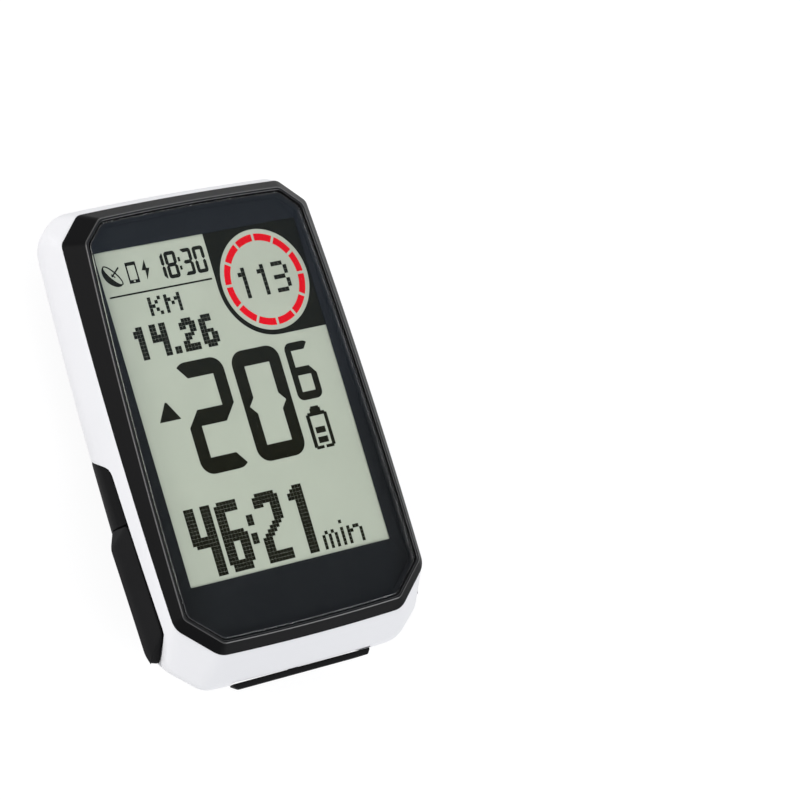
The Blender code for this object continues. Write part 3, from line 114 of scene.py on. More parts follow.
def new_object(name, bm, material=None):
    mesh = bpy.data.meshes.new(name)
    bm.to_mesh(mesh)
    bm.free()
    if material:
        mesh.materials.append(material)
    obj = bpy.data.objects.new(name, mesh)
    bpy.context.scene.collection.objects.link(obj)
    return obj


def make_floor():
    material = bpy.data.materials.new("white_floor")
    tree = empty_tree(material)
    path = add(tree, "LightPath", {})
    shown = path.outputs["Is Camera Ray"]
    for kind in ("Is Glossy Ray", "Is Transmission Ray"):
        either = add(tree, "Math", {0: shown, 1: path.outputs[kind]})
        either.operation = "MAXIMUM"
        shown = either.outputs[0]
    plain = add(tree, "BsdfDiffuse", {"Color": FLOOR_COLOUR})
    shaded = add(tree, "BsdfDiffuse", {"Color": FLOOR_SHADED})
    glow = add(tree, "Emission", {"Strength": FLOOR_GLOW})
    bright = add(tree, "AddShader", {0: shaded.outputs[0], 1: glow.outputs[0]})
    choice = add(tree, "MixShader", {0: shown, 1: plain.outputs[0], 2: bright.outputs[0]})
    add(tree, "OutputMaterial", {"Surface": choice.outputs[0]})
    bm = bmesh.new()
    bmesh.ops.create_grid(bm, x_segments=4, y_segments=4, size=FLOOR_SIZE / 2)
    bmesh.ops.translate(bm, vec=(0, 0, -FLOOR_CLEAR), verts=bm.verts)
    new_object("floor", bm, material)


def make_card():
    material = bpy.data.materials.new("fading_card")
    tree = empty_tree(material)
    strength = fading(tree, "Object", "Y", CARD_FADE, 0.0, CARD_STRENGTH)
    glow = add(tree, "Emission", {"Color": CARD_COLOUR, "Strength": strength})
    add(tree, "OutputMaterial", {"Surface": glow.outputs[0]})
    bm = bmesh.new()
    bmesh.ops.create_grid(bm, x_segments=1, y_segments=1, size=CARD_HALF)
    bmesh.ops.translate(bm, vec=CARD_CENTRE, verts=bm.verts)
    bmesh.ops.reverse_faces(bm, faces=bm.faces)
    card = new_object("fading_card", bm, material)
    card.visible_camera = False
    card.visible_shadow = False


def make_dome():
    world = bpy.data.worlds.new("dome")
    bpy.context.scene.world = world
    tree = empty_tree(world)
    strength = fading(tree, "Generated", "Z", DOME_FADE, DOME_HORIZON, DOME_OVERHEAD)
    sky = add(tree, "Background", {"Color": DOME_COLOUR, "Strength": strength})
    add(tree, "OutputWorld", {"Surface": sky.outputs[0]})


def make_lamp(name, place, size, power, colour):
    """A square soft lamp turned to the unit. Its place and size are in metres, its power in watts."""
    data = bpy.data.lights.new(name, "AREA")
    data.size = size
    data.energy = power
    data.color = colour
    lamp = bpy.data.objects.new(name, data)
    lamp.location = place
    lamp.rotation_mode = "QUATERNION"
    lamp.rotation_quaternion = (-Vector(place)).to_track_quat("-Z", "Y")
    lamp.visible_camera = False
    bpy.context.scene.collection.objects.link(lamp)


make_floor()
make_card()
make_dome()
make_lamp("left_soft_box", (-0.85, 0.30, 0.50), 0.6, 5.0, (1.0, 0.985, 0.97))
make_lamp("right_soft_box", (0.52, -0.72, 0.5), 0.5, 3.4, (0.97, 0.98, 1.0))
make_lamp("top_soft_box", (0.1, 0.75, 0.75), 0.5, 0.2, (1.0, 0.94, 0.88))


# Back cover: a black moulded tray that closes the unit from behind, with a cheek up each flank that holds
# a side key. It is glass-filled plastic with a fine spark-eroded texture, and four screws pull it on.
Z_BACK = 4.8 * MM
Z_FLOOR = 6.4 * MM
Z_JOINT = 6.6 * MM
Z_WIDE = 13.35 * MM
Z_STEP = 16.2 * MM
SEAT = 0.1 * MM
RUN = 0.3 * MM
WALL = 1.6 * MM
PAST = 2.0 * MM
WELD = 0.004 * MM
BACK_INSET = 5.2 * MM
SHELL_CORNER = 1.8 * MM
FOOT_CORNER = 1.5 * MM
MOUTH_INSET = 1.15
PARTING_HEIGHT = 18.6 * MM
PARTING_FALL = 1.6 * MM
LIP = 0.16 * MM
LIP_CLEAR = 1.3 * LIP
SOFT_CREASE = 1.1 * MM
CREASE_ANGLE = radians(32)
CHEEK_TIPS = [(-31.2, 13.33), (-28.4, 15.65), (-1.65, 14.3)]
CHEEK_FLARE = 0.4
CHEEK_CORNERS = (0.8 * MM, 1.6 * MM)
CHEEK_BACK_Z = 9.35 * MM
CHEEK_STEP = 0.05 * MM
CHEEK_RUN_OUT = 50.0 * MM
LEVEL_HALF = 18.0 * MM

# How finely the curves are drawn, and the longest share of an edge that a rounded corner may take.
CORNER_STEPS = 7
SIDE_STEPS = 110
END_STEPS = 30
CUT_STEPS = 6
FLANK_STEPS = 10
CREASE_STEPS = 8
BACK_STEPS = 22
INNER_STEPS = 12
MOUTH_STEPS = 3
LIP_STEPS = 4
FIRST_TURN = 0.12
EDGE_SHARE = 0.45

# A tapered octagon in plan: top, bottom, half width at each, and the corner cuts there as (across, along).
FOOT = (37.6, -34.1, 23.45, 24.3, (4.3, 4.2), (6.8, 5.9))
WIDE = (39.0, -38.35, 23.55, 24.4, (3.3, 2.9), (5.4, 4.3))
HOLLOW = (39.0, -38.35, 23.55, 24.4, (4.2, 3.6), (5.4, 4.3))

# The shell's outside and its hollow, each with the share by which its upper and lower cuts shrink to the
# back, and how much deeper the lower cuts run half way down, which makes a flat facet there.
OUTSIDE = (WIDE, (0.2, 0.5))
INSIDE = (HOLLOW, (0.5, 0.5))
FLAT_CORNER = 5.8


def grown(plan, margin, cut_shares=(1.0, 1.0)):
    """A plan with every edge moved out by a margin in millimetres."""
    top, bottom, half_top, half_bottom, *cuts = plan
    change = margin * (2.0 - sqrt(2.0))
    cuts = [tuple(cut + change * share for cut in pair) for pair, share in zip(cuts, cut_shares)]
    return (top + margin, bottom - margin, half_top + margin, half_bottom + margin, *cuts)


def bend(start, tip, end, t):
    """A point of the curve that leaves a start towards a tip and comes to rest at an end."""
    return start * (1 - t) ** 2 + tip * 2 * t * (1 - t) + end * t**2


def turned(tips, reach, steps):
    """Arcs in place of a closed polygon's corners, each starting the given reach before its corner."""
    arcs = []
    for i, tip in enumerate(tips):
        back = tips[i - 1] - tip
        onward = tips[(i + 1) % len(tips)] - tip
        length = min(reach, back.length * EDGE_SHARE, onward.length * EDGE_SHARE)
        start = tip + back.normalized() * length
        end = tip + onward.normalized() * length
        arcs.append([bend(start, tip, end, step / steps) for step in range(steps + 1)])
    return arcs


def rounded(tips, reach, steps=CORNER_STEPS):
    """A closed polygon's outline with an arc at every corner."""
    return [p for arc in turned(tips, reach, steps) for p in arc]


def ring(plan, corner=0.7 * MM, side_bow=0.55 * MM, end_bow=0.3 * MM, low_corner=None):
    """A plan's loop in metres: rounded corners, and long edges that bow outwards."""
    top, bottom, half_top, half_bottom, top_cut, bottom_cut = plan
    low = bottom + bottom_cut[1]
    high = top - top_cut[1]
    taper = (half_top - half_bottom) / (top - bottom)
    right = [(half_bottom - bottom_cut[0], bottom), (half_bottom + taper * (low - bottom), low)]
    right += [(half_bottom + taper * (high - bottom), high), (half_top - top_cut[0], top)]
    tips = [Vector(p) * MM for p in right] + [Vector((-x, y)) * MM for x, y in reversed(right)]
    arcs = turned(tips, corner, CORNER_STEPS)
    if low_corner:
        low_arcs = turned(tips, low_corner, CORNER_STEPS)
        arcs = low_arcs[:2] + arcs[2:6] + low_arcs[6:]
    edges = [(CUT_STEPS, 0.0), (SIDE_STEPS, side_bow), (CUT_STEPS, 0.0), (END_STEPS, end_bow)] * 2
    loop = []
    for i, (steps, bow) in enumerate(edges):
        loop += arcs[i]
        start = arcs[i][-1]
        along = arcs[(i + 1) % 8][0] - start
        outwards = Vector((along.y, -along.x)).normalized()
        for step in range(1, steps):
            t = step / steps
            loop.append(start + along * t + outwards * bow * 4 * t * (1 - t))
    return loop


def parting(y):
    """Height of the sloping line where the front bezel meets the white shell."""
    top, bottom = FOOT[:2]
    return PARTING_HEIGHT - PARTING_FALL * (y / MM - bottom) / (top - bottom)


def back_section(skin, turn, inset=0.0):
    """The shell's loop a share of a quarter turn below its widest line, moved in by an inset."""
    plan, cut_shares = skin
    drop = sin(turn * pi / 2)
    curved = 1 - cos(turn * pi / 2)
    *plan, bottom_cut = grown(plan, -(BACK_INSET * curved + inset) / MM, cut_shares)
    flat = FLAT_CORNER * (drop - curved)
    plan.append(tuple(cut + flat for cut in bottom_cut))
    z = Z_WIDE - (Z_WIDE - Z_BACK) * drop
    return [Vector((p.x, p.y, z)) for p in ring(plan, SHELL_CORNER)]


def cheek_profile():
    """The line in the YZ plane where the cover meets the white shell along a flank."""
    low_tip, low_front, high_front = (Vector(tip) * MM for tip in CHEEK_TIPS)
    heel = Vector((high_front.x + CHEEK_FLARE * (high_front.y - CHEEK_BACK_Z), CHEEK_BACK_Z))
    out = Vector((CHEEK_STEP, 0))
    far = Vector((CHEEK_RUN_OUT, 0))
    low_foot = Vector((low_tip.x, Z_JOINT)) - out
    high_foot = Vector((heel.x, Z_JOINT)) + out
    tips = [low_foot, low_tip, low_front, high_front, heel, high_foot]
    low_arc, high_arc = (turned(tips, reach, CORNER_STEPS)[i] for i, reach in zip((2, 3), CHEEK_CORNERS))
    return [low_foot - far, low_foot, low_tip, *low_arc, *high_arc, heel, high_foot, high_foot + far]


CHEEK_LINE = cheek_profile()


def seam_height(point):
    """Height of the joint between the cover and the white shell, over a point of a flank or an end."""
    if abs(point.x) < LEVEL_HALF:
        return Z_JOINT
    for start, end in zip(CHEEK_LINE, CHEEK_LINE[1:]):
        if start.x <= point.y <= end.x and end.x > start.x:
            return start.y + (end.y - start.y) * (point.y - start.x) / (end.x - start.x)
    return Z_JOINT


def cut_paths(paths, lift):
    """Split every path where it crosses the joint, and give the part above it and the part below it.
    Points past the joint are laid on it, so that every path keeps its count."""
    above = []
    below = []
    for path in paths:
        over = [p.z - seam_height(p) - lift for p in path]
        crossing = next((k for k in range(len(path)) if over[k] < 0), None)
        if crossing is None:
            meet, crossing = path[-1], len(path)
        elif crossing == 0:
            meet = path[0]
        else:
            share = over[crossing - 1] / (over[crossing - 1] - over[crossing])
            meet = path[crossing - 1].lerp(path[crossing], share)
        above.append(path[:crossing] + [meet] * (len(path) - crossing))
        below.append([meet] * crossing + path[crossing:])
    return above, below


def flank_paths():
    """Lines down the outside of the unit, from the bezel's foot over the widest line to the back face."""
    foot = [Vector((p.x, p.y, parting(p.y) - SEAT / 2)) for p in ring(FOOT, low_corner=FOOT_CORNER)]
    turns = [FIRST_TURN + (1 - FIRST_TURN) * k / BACK_STEPS for k in range(BACK_STEPS + 1)]
    sections = [back_section(OUTSIDE, turn) for turn in turns]
    paths = []
    for i, (start, tip) in enumerate(zip(foot, back_section(OUTSIDE, 0.0))):
        rise = start - tip
        crease = tip + rise.normalized() * min(SOFT_CREASE, rise.length * EDGE_SHARE)
        path = [start.lerp(crease, k / FLANK_STEPS) for k in range(FLANK_STEPS)]
        path += [bend(crease, tip, sections[0][i], k / CREASE_STEPS) for k in range(CREASE_STEPS)]
        paths.append(path + [section[i] for section in sections])
    return paths


def inner_paths():
    """Lines down the inside of the shell, from the bezel's mouth to the floor of the cover."""
    depth = (Z_WIDE - Z_FLOOR) / (Z_WIDE - Z_BACK)
    turns = [asin(depth * k / INNER_STEPS) / (pi / 2) for k in range(INNER_STEPS + 1)]
    sections = [back_section(INSIDE, turn, WALL) for turn in turns]
    paths = []
    for i, p in enumerate(ring(grown(FOOT, -MOUTH_INSET))):
        top = Vector((p.x, p.y, parting(p.y) - SEAT / 2))
        step = Vector((p.x, p.y, Z_STEP))
        path = [top.lerp(step, k / MOUTH_STEPS) for k in range(MOUTH_STEPS)]
        path += [step.lerp(sections[0][i], k / FLANK_STEPS) for k in range(FLANK_STEPS)]
        paths.append(path + [section[i] for section in sections])
    return paths


def lipped(path, inwards, at_end):
    """A path whose last stretch before the joint, or first after it, is rounded over inwards."""
    ends = path[::-1] if at_end else path[:]
    edge = ends[0]
    kept = [p for p in ends if (p - edge).length > LIP_CLEAR]
    if not kept:
        return path
    start = edge + (kept[0] - edge).normalized() * LIP
    end = edge + inwards * LIP
    shares = [min(k / LIP_STEPS, 1.0) for k in range(len(ends) - len(kept))]
    ends = [bend(end, edge, start, t) for t in shares] + kept
    return ends[::-1] if at_end else ends


def loft(loops, closed=False):
    """A skin drawn from the first loop of points through all the others by extruding its edges, shut with
    an end face at each end or, where it is closed, back onto its first loop."""
    bm = bmesh.new()
    verts = [bm.verts.new(p) for p in loops[0]]
    edges = [bm.edges.new((verts[k - 1], verts[k])) for k in range(len(verts))]
    if not closed:
        bmesh.ops.contextual_create(bm, geom=edges)
    for loop in loops[1:] + loops[:1] * closed:
        drawn = bmesh.ops.extrude_edge_only(bm, edges=edges)["geom"]
        fresh = {item for item in drawn if isinstance(item, bmesh.types.BMVert)}
        verts = [next(e.other_vert(v) for e in v.link_edges if e.other_vert(v) in fresh) for v in verts]
        edges = [item for item in drawn if isinstance(item, bmesh.types.BMEdge)]
        edges = [edge for edge in edges if fresh.issuperset(edge.verts)]
        for vert, point in zip(verts, loop):
            vert.co = point
    if not closed:
        bmesh.ops.contextual_create(bm, geom=edges)
    bmesh.ops.recalc_face_normals(bm, faces=bm.faces)
    return bm


def tidy(bm):
    bmesh.ops.remove_doubles(bm, verts=bm.verts, dist=WELD)
    bmesh.ops.dissolve_degenerate(bm, edges=bm.edges, dist=WELD / 2)
    bmesh.ops.recalc_face_normals(bm, faces=bm.faces)


def carve(piece, tool_bm, operation="DIFFERENCE"):
    """Cut a tool out of a piece, or join it on, and throw the tool away."""
    tool = new_object("tool", tool_bm)
    step = piece.modifiers.new("carve", "BOOLEAN")
    step.operation = operation
    step.solver = "EXACT"
    step.object = tool
    graph = bpy.context.evaluated_depsgraph_get()
    carved = bpy.data.meshes.new_from_object(piece.evaluated_get(graph))
    piece.modifiers.clear()
    old = piece.data
    piece.data = carved
    bpy.data.meshes.remove(old)
    bpy.data.objects.remove(tool)


def shade(mesh):
    mesh.shade_smooth()
    mesh.set_sharp_from_angle(angle=CREASE_ANGLE)


def fit(piece, body, slot, *nodes):
    """Shade a piece, hang it on its body and let it stand for its CAD nodes. The slot is not used."""
    shade(piece.data)
    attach(piece, body)
    if nodes:
        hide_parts(*nodes)
    return piece


def rod(radius, start, end, segments=48):
    """A round bar between two points, as a tool or a blank."""
    start = Vector(start)
    end = Vector(end)
    bm = bmesh.new()
    bmesh.ops.create_cone(
        bm, cap_ends=True, segments=segments, radius1=radius, radius2=radius, depth=(end - start).length
    )
    turn = Vector((0, 0, 1)).rotation_difference(end - start).to_matrix().to_4x4()
    bmesh.ops.transform(bm, matrix=Matrix.Translation((start + end) / 2) @ turn, verts=bm.verts)
    return bm


def bore(piece, radius, place, low, high, segments=48):
    """Drill a piece straight up at a place in plan, from one height to another."""
    carve(piece, rod(radius, (*place, low), (*place, high), segments))


def prism(outline, low, high, axis="z"):
    """A straight block over an outline in plan, or over one in the YZ plane that runs along X."""
    if axis == "z":
        loops = [[(p[0], p[1], level) for p in outline] for level in (low, high)]
    else:
        loops = [[(level, p[0], p[1]) for p in outline] for level in (low, high)]
    return loft(loops)


def slot_outline(half_width, low, high, corner, steps=8):
    right = [Vector((half_width, low)), Vector((half_width, high))]
    tips = right + [Vector((-p.x, p.y)) for p in reversed(right)]
    return rounded(tips, corner, steps)


def moulded(name, dark, light, roughness, grain, depth, metallic=0.0, specular=0.5, patch=14.0, spread=0.08):
    """A material whose colour and gloss drift slowly, under a fine grain. Sizes are in millimetres."""
    material = bpy.data.materials.new(name)
    material.use_nodes = True
    tree = material.node_tree
    where = add(tree, "TexCoord", {}).outputs["Object"]
    drift = add(tree, "TexNoise", {"Vector": where, "Scale": 1.0 / (patch * MM), "Detail": 4.0})
    tint = add(tree, "Mix", {0: drift.outputs["Fac"], 6: (*dark, 1.0), 7: (*light, 1.0)})
    tint.data_type = "RGBA"
    texture = add(tree, "TexNoise", {"Vector": where, "Scale": 1.0 / (grain * MM), "Detail": 3.0})
    height = feed(tree, texture, {"Roughness": 0.6}).outputs["Fac"]
    ends = {"To Min": roughness - spread, "To Max": roughness + spread}
    gloss = add(tree, "MapRange", {"Value": height, **ends})
    relief = add(tree, "Bump", {"Height": height, "Strength": 0.35, "Distance": depth * MM})
    finish = {"Base Color": tint.outputs[2], "Metallic": metallic, "Specular IOR Level": specular}
    finish |= {"Roughness": gloss.outputs["Result"], "Normal": relief.outputs["Normal"]}
    feed(tree, tree.nodes["Principled BSDF"], finish)
    return material


BLACK_PLASTIC = moulded(
    "satin_black_plastic", (0.0045, 0.0045, 0.005), (0.007, 0.007, 0.0076), 0.40, 0.22, 0.02, specular=0.045
)
COVER_BLACK = moulded(
    "matt_black_cover", (0.0050, 0.0050, 0.0054), (0.0078, 0.0078, 0.0083), 0.52, 0.22, 0.03, specular=0.02
)
POSTS = [(x * MM, y * MM) for y in (-29.95, 30.6) for x in (-15.15, 15.15)]
SCREW_HOLE_RADIUS = 1.05 * MM
SCREW_HEAD_RADIUS = 1.85 * MM
SCREW_HEAD_DEPTH = 0.9 * MM
PUCK_SCREW_X = 6.8 * MM
PUCK_PILOT_RADIUS = 0.9 * MM
PUCK_PILOT_DEPTH = 1.2 * MM
VENT_PLACE = (11.0 * MM, -19.0 * MM)
VENT_RADIUS = 0.6 * MM
SOCKET_Y = -26.6 * MM
SOCKET_HALF = (4.6 * MM, 1.75 * MM)
SOCKET_CORNER = 1.57 * MM
DOOR_RECESS = slot_outline(7.8 * MM, -31.2 * MM, -21.45 * MM, 1.5 * MM)
DOOR_RECESS_DEPTH = 1.05 * MM
PIN_PLACE = (-17.0 * MM, 13.25 * MM)
PIN_RADIUS = 0.8 * MM
PIN_BORE_X = 21.0 * MM
KEY_PROUD = 1.35 * MM
KEY_FLUSH_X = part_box("right_key")[1].x - KEY_PROUD
KEY_FLOOR_X = KEY_FLUSH_X - 0.8 * MM
KEY_POCKET_LENGTH = 17.9 * MM
KEY_TIP = Vector((-32.85, 12.0)) * MM
KEY_HEEL_Y = -31.1 * MM


def key_foot(gap):
    """A side key's pocket in the YZ plane, moved in by a gap: lower back, tip, lower front, upper front and
    upper back."""
    _, low_front, high_front = (Vector(tip) * MM for tip in CHEEK_TIPS)
    slope = (high_front.y - low_front.y) / (high_front.x - low_front.x)
    top = low_front.x + KEY_POCKET_LENGTH
    corners = [Vector((KEY_HEEL_Y, CHEEK_BACK_Z)), KEY_TIP, low_front]
    corners += [Vector((top, low_front.y + slope * KEY_POCKET_LENGTH)), Vector((top, CHEEK_BACK_Z))]
    moved = []
    for i, corner in enumerate(corners):
        back = (corners[i - 1] - corner).normalized()
        onward = (corners[(i + 1) % len(corners)] - corner).normalized()
        moved.append(corner + (back + onward) * gap / abs(back.cross(onward)))
    return moved


def make_back_cover():
    lift = -SEAT / 2
    outer = cut_paths(flank_paths(), lift)[1]
    inner = cut_paths(inner_paths(), lift)[1]
    inwards = [(b[0] - a[0]).normalized() for a, b in zip(outer, inner)]
    outer = [lipped(path, way, False) for path, way in zip(outer, inwards)]
    inner = [lipped(path, -way, False) for path, way in zip(inner, inwards)]
    loops = [list(loop) for loop in zip(*outer)][::-1] + [list(loop) for loop in zip(*inner)]
    bm = loft(loops)
    tidy(bm)
    cover = new_object("back_cover_shell", bm, COVER_BLACK)
    far_x = KEY_FLUSH_X + PAST
    low = Z_BACK - PAST
    high = Z_FLOOR + PAST
    for side in (-1, 1):
        carve(cover, prism(key_foot(0.0), side * KEY_FLOOR_X, side * far_x, "x"))
        carve(cover, rod(PIN_RADIUS + RUN, (side * PIN_BORE_X, *PIN_PLACE), (side * far_x, *PIN_PLACE)))
    for place in POSTS:
        bore(cover, SCREW_HEAD_RADIUS, place, low, Z_BACK + SCREW_HEAD_DEPTH)
        bore(cover, SCREW_HOLE_RADIUS, place, low, high)
    for x in (-PUCK_SCREW_X, PUCK_SCREW_X):
        bore(cover, PUCK_PILOT_RADIUS, (x, 0), low, Z_BACK + PUCK_PILOT_DEPTH)
    bore(cover, VENT_RADIUS, VENT_PLACE, low, high, 24)
    half, rise = SOCKET_HALF
    mouth = slot_outline(half, SOCKET_Y - rise, SOCKET_Y + rise, SOCKET_CORNER)
    carve(cover, prism(mouth, low, high))
    carve(cover, prism(DOOR_RECESS, low, Z_BACK + DOOR_RECESS_DEPTH))
    fit(cover, "case", "black_plastic", "back_cover")


make_back_cover()


# Quarter-turn puck: the round foot that locks into a bracket, with two ears, a lead-in on each end of an
# ear and a cored middle. It is the bezel's satin black plastic, and two screws sunk in its face hold it.
PUCK_RADIUS = 10.4 * MM
EAR_RADIUS = 13.2 * MM
EAR_THICKNESS = 1.9 * MM
EAR_HALF_ANGLE = radians(33.0)
EAR_LEAD_IN = radians(7.0)
PUCK_HEIGHT = 4.7 * MM
EAR_STEPS = 24
STEM_RADIUS = 10.15 * MM
CORE_RADIUS = 3.6 * MM
CORE_DEPTH = 0.7 * MM
PUCK_HEAD_RADIUS = 1.75 * MM
PUCK_HEAD_DEPTH = 1.5 * MM
PUCK_HOLE_RADIUS = 0.95 * MM
SOFT_EDGE = 0.22 * MM
SAME_LEVEL = 0.001 * MM
SHARP_TURN = radians(35)
SCREW_CHAMFER = 0.18 * MM
SCREW_SEGMENTS = 36
HEXAGON_RADIUS = 0.72 * MM
HEXAGON_DEPTH = 0.4 * MM

# A screw's head radius and height, and its shank's radius and length.
PUCK_SCREW = (1.6 * MM, 1.0 * MM, 0.8 * MM, 4.4 * MM)
PUCK_SCREW_Z = 0.4 * MM

SCREW_STEEL = moulded(
    "blackened_screw_steel", (0.11, 0.11, 0.115), (0.19, 0.19, 0.20), 0.34, 0.12, 0.006, 1.0, 0.5, 2.0, 0.1
)


def soften(bm, edges, width, segments=3):
    bmesh.ops.bevel(
        bm, geom=edges, offset=width, offset_type="OFFSET", affect="EDGES", segments=segments,
        profile=0.5, material=-1, clamp_overlap=True,
    )


def flat_rim(bm, *levels):
    """Edges that lie in one of the given heights and turn sharply, such as the rims of a prism."""
    found = []
    for edge in bm.edges:
        heights = [vert.co.z for vert in edge.verts]
        level = any(max(abs(z - at) for z in heights) < SAME_LEVEL for at in levels)
        if level and edge.is_manifold and edge.calc_face_angle() > SHARP_TURN:
            found.append(edge)
    return found


def make_puck():
    loop = []
    for middle in (pi / 2, 3 * pi / 2):
        reach = EAR_HALF_ANGLE + EAR_LEAD_IN
        ear = [middle + EAR_HALF_ANGLE * (2 * k / EAR_STEPS - 1) for k in range(EAR_STEPS + 1)]
        loop += [Vector((EAR_RADIUS * cos(a), EAR_RADIUS * sin(a))) for a in ear]
        waist = [middle + reach + (pi - 2 * reach) * k / EAR_STEPS for k in range(EAR_STEPS + 1)]
        loop += [Vector((PUCK_RADIUS * cos(a), PUCK_RADIUS * sin(a))) for a in waist]
    bm = prism(loop, 0.0, EAR_THICKNESS)
    soften(bm, flat_rim(bm, 0.0, EAR_THICKNESS), SOFT_EDGE)
    puck = new_object("quarter_turn_puck", bm, BLACK_PLASTIC)
    carve(puck, rod(STEM_RADIUS, (0, 0, EAR_THICKNESS / 2), (0, 0, PUCK_HEIGHT), 96), "UNION")
    core = rod(CORE_RADIUS, (0, 0, -PAST), (0, 0, CORE_DEPTH), 64)
    soften(core, flat_rim(core, CORE_DEPTH), SOFT_EDGE)
    carve(puck, core)
    for x in (-PUCK_SCREW_X, PUCK_SCREW_X):
        bore(puck, PUCK_HEAD_RADIUS, (x, 0), -PAST, PUCK_HEAD_DEPTH)
        bore(puck, PUCK_HOLE_RADIUS, (x, 0), -PAST, PUCK_HEIGHT + PAST)
    fit(puck, "case", "black_plastic", "mount_puck")


def make_screw(name, node, place, head_radius, head_height, shank_radius, shank_length):
    """A socket screw that points up, turned from its half section, with a hexagon hole in its head."""
    cut = SCREW_CHAMFER
    tip = head_height + shank_length
    section = [(0, 0), (head_radius - cut, 0), (head_radius, cut), (head_radius, head_height)]
    section += [(shank_radius, head_height), (shank_radius, tip - cut), (shank_radius - cut, tip), (0, tip)]
    bm = bmesh.new()
    verts = [bm.verts.new((r, 0, z)) for r, z in section]
    edges = [bm.edges.new(pair) for pair in zip(verts, verts[1:])]
    bmesh.ops.spin(
        bm, geom=verts + edges, cent=(0, 0, 0), axis=(0, 0, 1), angle=tau, steps=SCREW_SEGMENTS,
        use_merge=True, use_duplicate=False,
    )
    bmesh.ops.remove_doubles(bm, verts=bm.verts, dist=WELD / 2)
    bmesh.ops.recalc_face_normals(bm, faces=bm.faces)
    bmesh.ops.translate(bm, vec=place, verts=bm.verts)
    screw = new_object(name, bm, SCREW_STEEL)
    *middle, base = place
    bore(screw, HEXAGON_RADIUS, middle, base - PAST, base + HEXAGON_DEPTH, 6)
    fit(screw, "case", "screw_steel", node)


make_puck()
for side, x in (("left", -PUCK_SCREW_X), ("right", PUCK_SCREW_X)):
    make_screw(side + "_puck_socket_screw", side + "_puck_screw", (x, 0, PUCK_SCREW_Z), *PUCK_SCREW)


# Battery: a flat pouch of aluminium foil on a strip of black foam, with a red and a black lead that end in
# a small plug beside the header on the board. All of it is hidden inside the case.
BATTERY_FOIL = moulded("battery_foil", (0.44, 0.45, 0.47), (0.56, 0.57, 0.58), 0.36, 0.9, 0.03, 0.6)
PAD_FOAM = moulded("pad_foam", (0.02, 0.02, 0.02), (0.05, 0.05, 0.05), 0.9, 0.35, 0.08)
MOULDED_BLACK = moulded("moulded_black", (0.014, 0.014, 0.015), (0.022, 0.022, 0.023), 0.5, 0.2, 0.01)
MOULDED_WHITE = moulded("moulded_natural", (0.66, 0.66, 0.63), (0.74, 0.74, 0.72), 0.5, 0.25, 0.01)
RED_WIRE = moulded("red_wire_sleeve", (0.36, 0.012, 0.012), (0.46, 0.02, 0.02), 0.42, 0.3, 0.005)
BLACK_WIRE = moulded("black_wire_sleeve", (0.012, 0.012, 0.012), (0.02, 0.02, 0.02), 0.42, 0.3, 0.005)


def paint(material, *names):
    """Give CAD nodes that stay as they are their real finish."""
    for name in names:
        mesh = cad[name].data
        mesh.materials.clear()
        mesh.materials.append(material)
        shade(mesh)


paint(BATTERY_FOIL, "battery")
paint(PAD_FOAM, "battery_pad")
paint(MOULDED_BLACK, "battery_plug")
paint(MOULDED_WHITE, "battery_header")
paint(RED_WIRE, "red_lead")
paint(BLACK_WIRE, "black_lead")


# Main board: green laminate with a shield can, the display's connector, two ceramic antennas, a pressure
# sensor behind the vent and a buzzer. Two screws fix it to the legs of the display tray.
BOARD_LAMINATE = moulded("board_laminate", (0.006, 0.06, 0.026), (0.012, 0.10, 0.045), 0.42, 0.5, 0.012)
TINNED_STEEL = moulded("tinned_steel", (0.52, 0.52, 0.50), (0.64, 0.64, 0.62), 0.32, 0.4, 0.004, 1.0)
CERAMIC = moulded("fired_ceramic", (0.56, 0.52, 0.45), (0.66, 0.62, 0.54), 0.55, 0.15, 0.01)
BRASS = moulded("knurled_brass", (0.58, 0.40, 0.15), (0.70, 0.50, 0.21), 0.34, 0.35, 0.02, 1.0)

paint(BOARD_LAMINATE, "main_board")
paint(TINNED_STEEL, "shield_can", "pressure_sensor", "charging_socket")
paint(MOULDED_BLACK, "ribbon_connector", "buzzer", "socket_tongue")
paint(CERAMIC, "satellite_antenna", "radio_antenna")
paint(BRASS, *[f"thread_insert_{i}" for i in range(1, 5)])
paint(SCREW_STEEL, "left_board_screw", "right_board_screw")


# Seals and vent: moulded rings of grey silicone under the cover's edge, round the bezel's spigot and behind
# each key keep the water out. A white film that lets air through is bonded over the vent hole.
VENT_FILM = moulded("vent_film", (0.72, 0.72, 0.72), (0.82, 0.82, 0.82), 0.8, 0.08, 0.01)
GREY_SILICONE = moulded("grey_silicone", (0.21, 0.21, 0.22), (0.28, 0.28, 0.29), 0.66, 0.4, 0.01)
SEAL_FIT = 0.15 * MM
SEAL_WIDTH = 0.7 * MM


def make_back_seal():
    low, high = (corner.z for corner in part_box("back_seal"))
    turn = asin((Z_WIDE - low) / (Z_WIDE - Z_BACK)) / (pi / 2)
    outer, inner = (back_section(INSIDE, turn, WALL + SEAL_FIT + width) for width in (0.0, SEAL_WIDTH))
    corners = ((outer, low), (outer, high), (inner, high), (inner, low))
    bm = loft([[Vector((p.x, p.y, z)) for p in loop] for loop, z in corners], closed=True)
    tidy(bm)
    fit(new_object("cover_seal_ring", bm, GREY_SILICONE), "case", "grey_silicone", "back_seal")


make_back_seal()
paint(GREY_SILICONE, "bezel_seal", "left_key_seal", "right_key_seal", "bottom_key_seal")
paint(VENT_FILM, "vent_membrane")


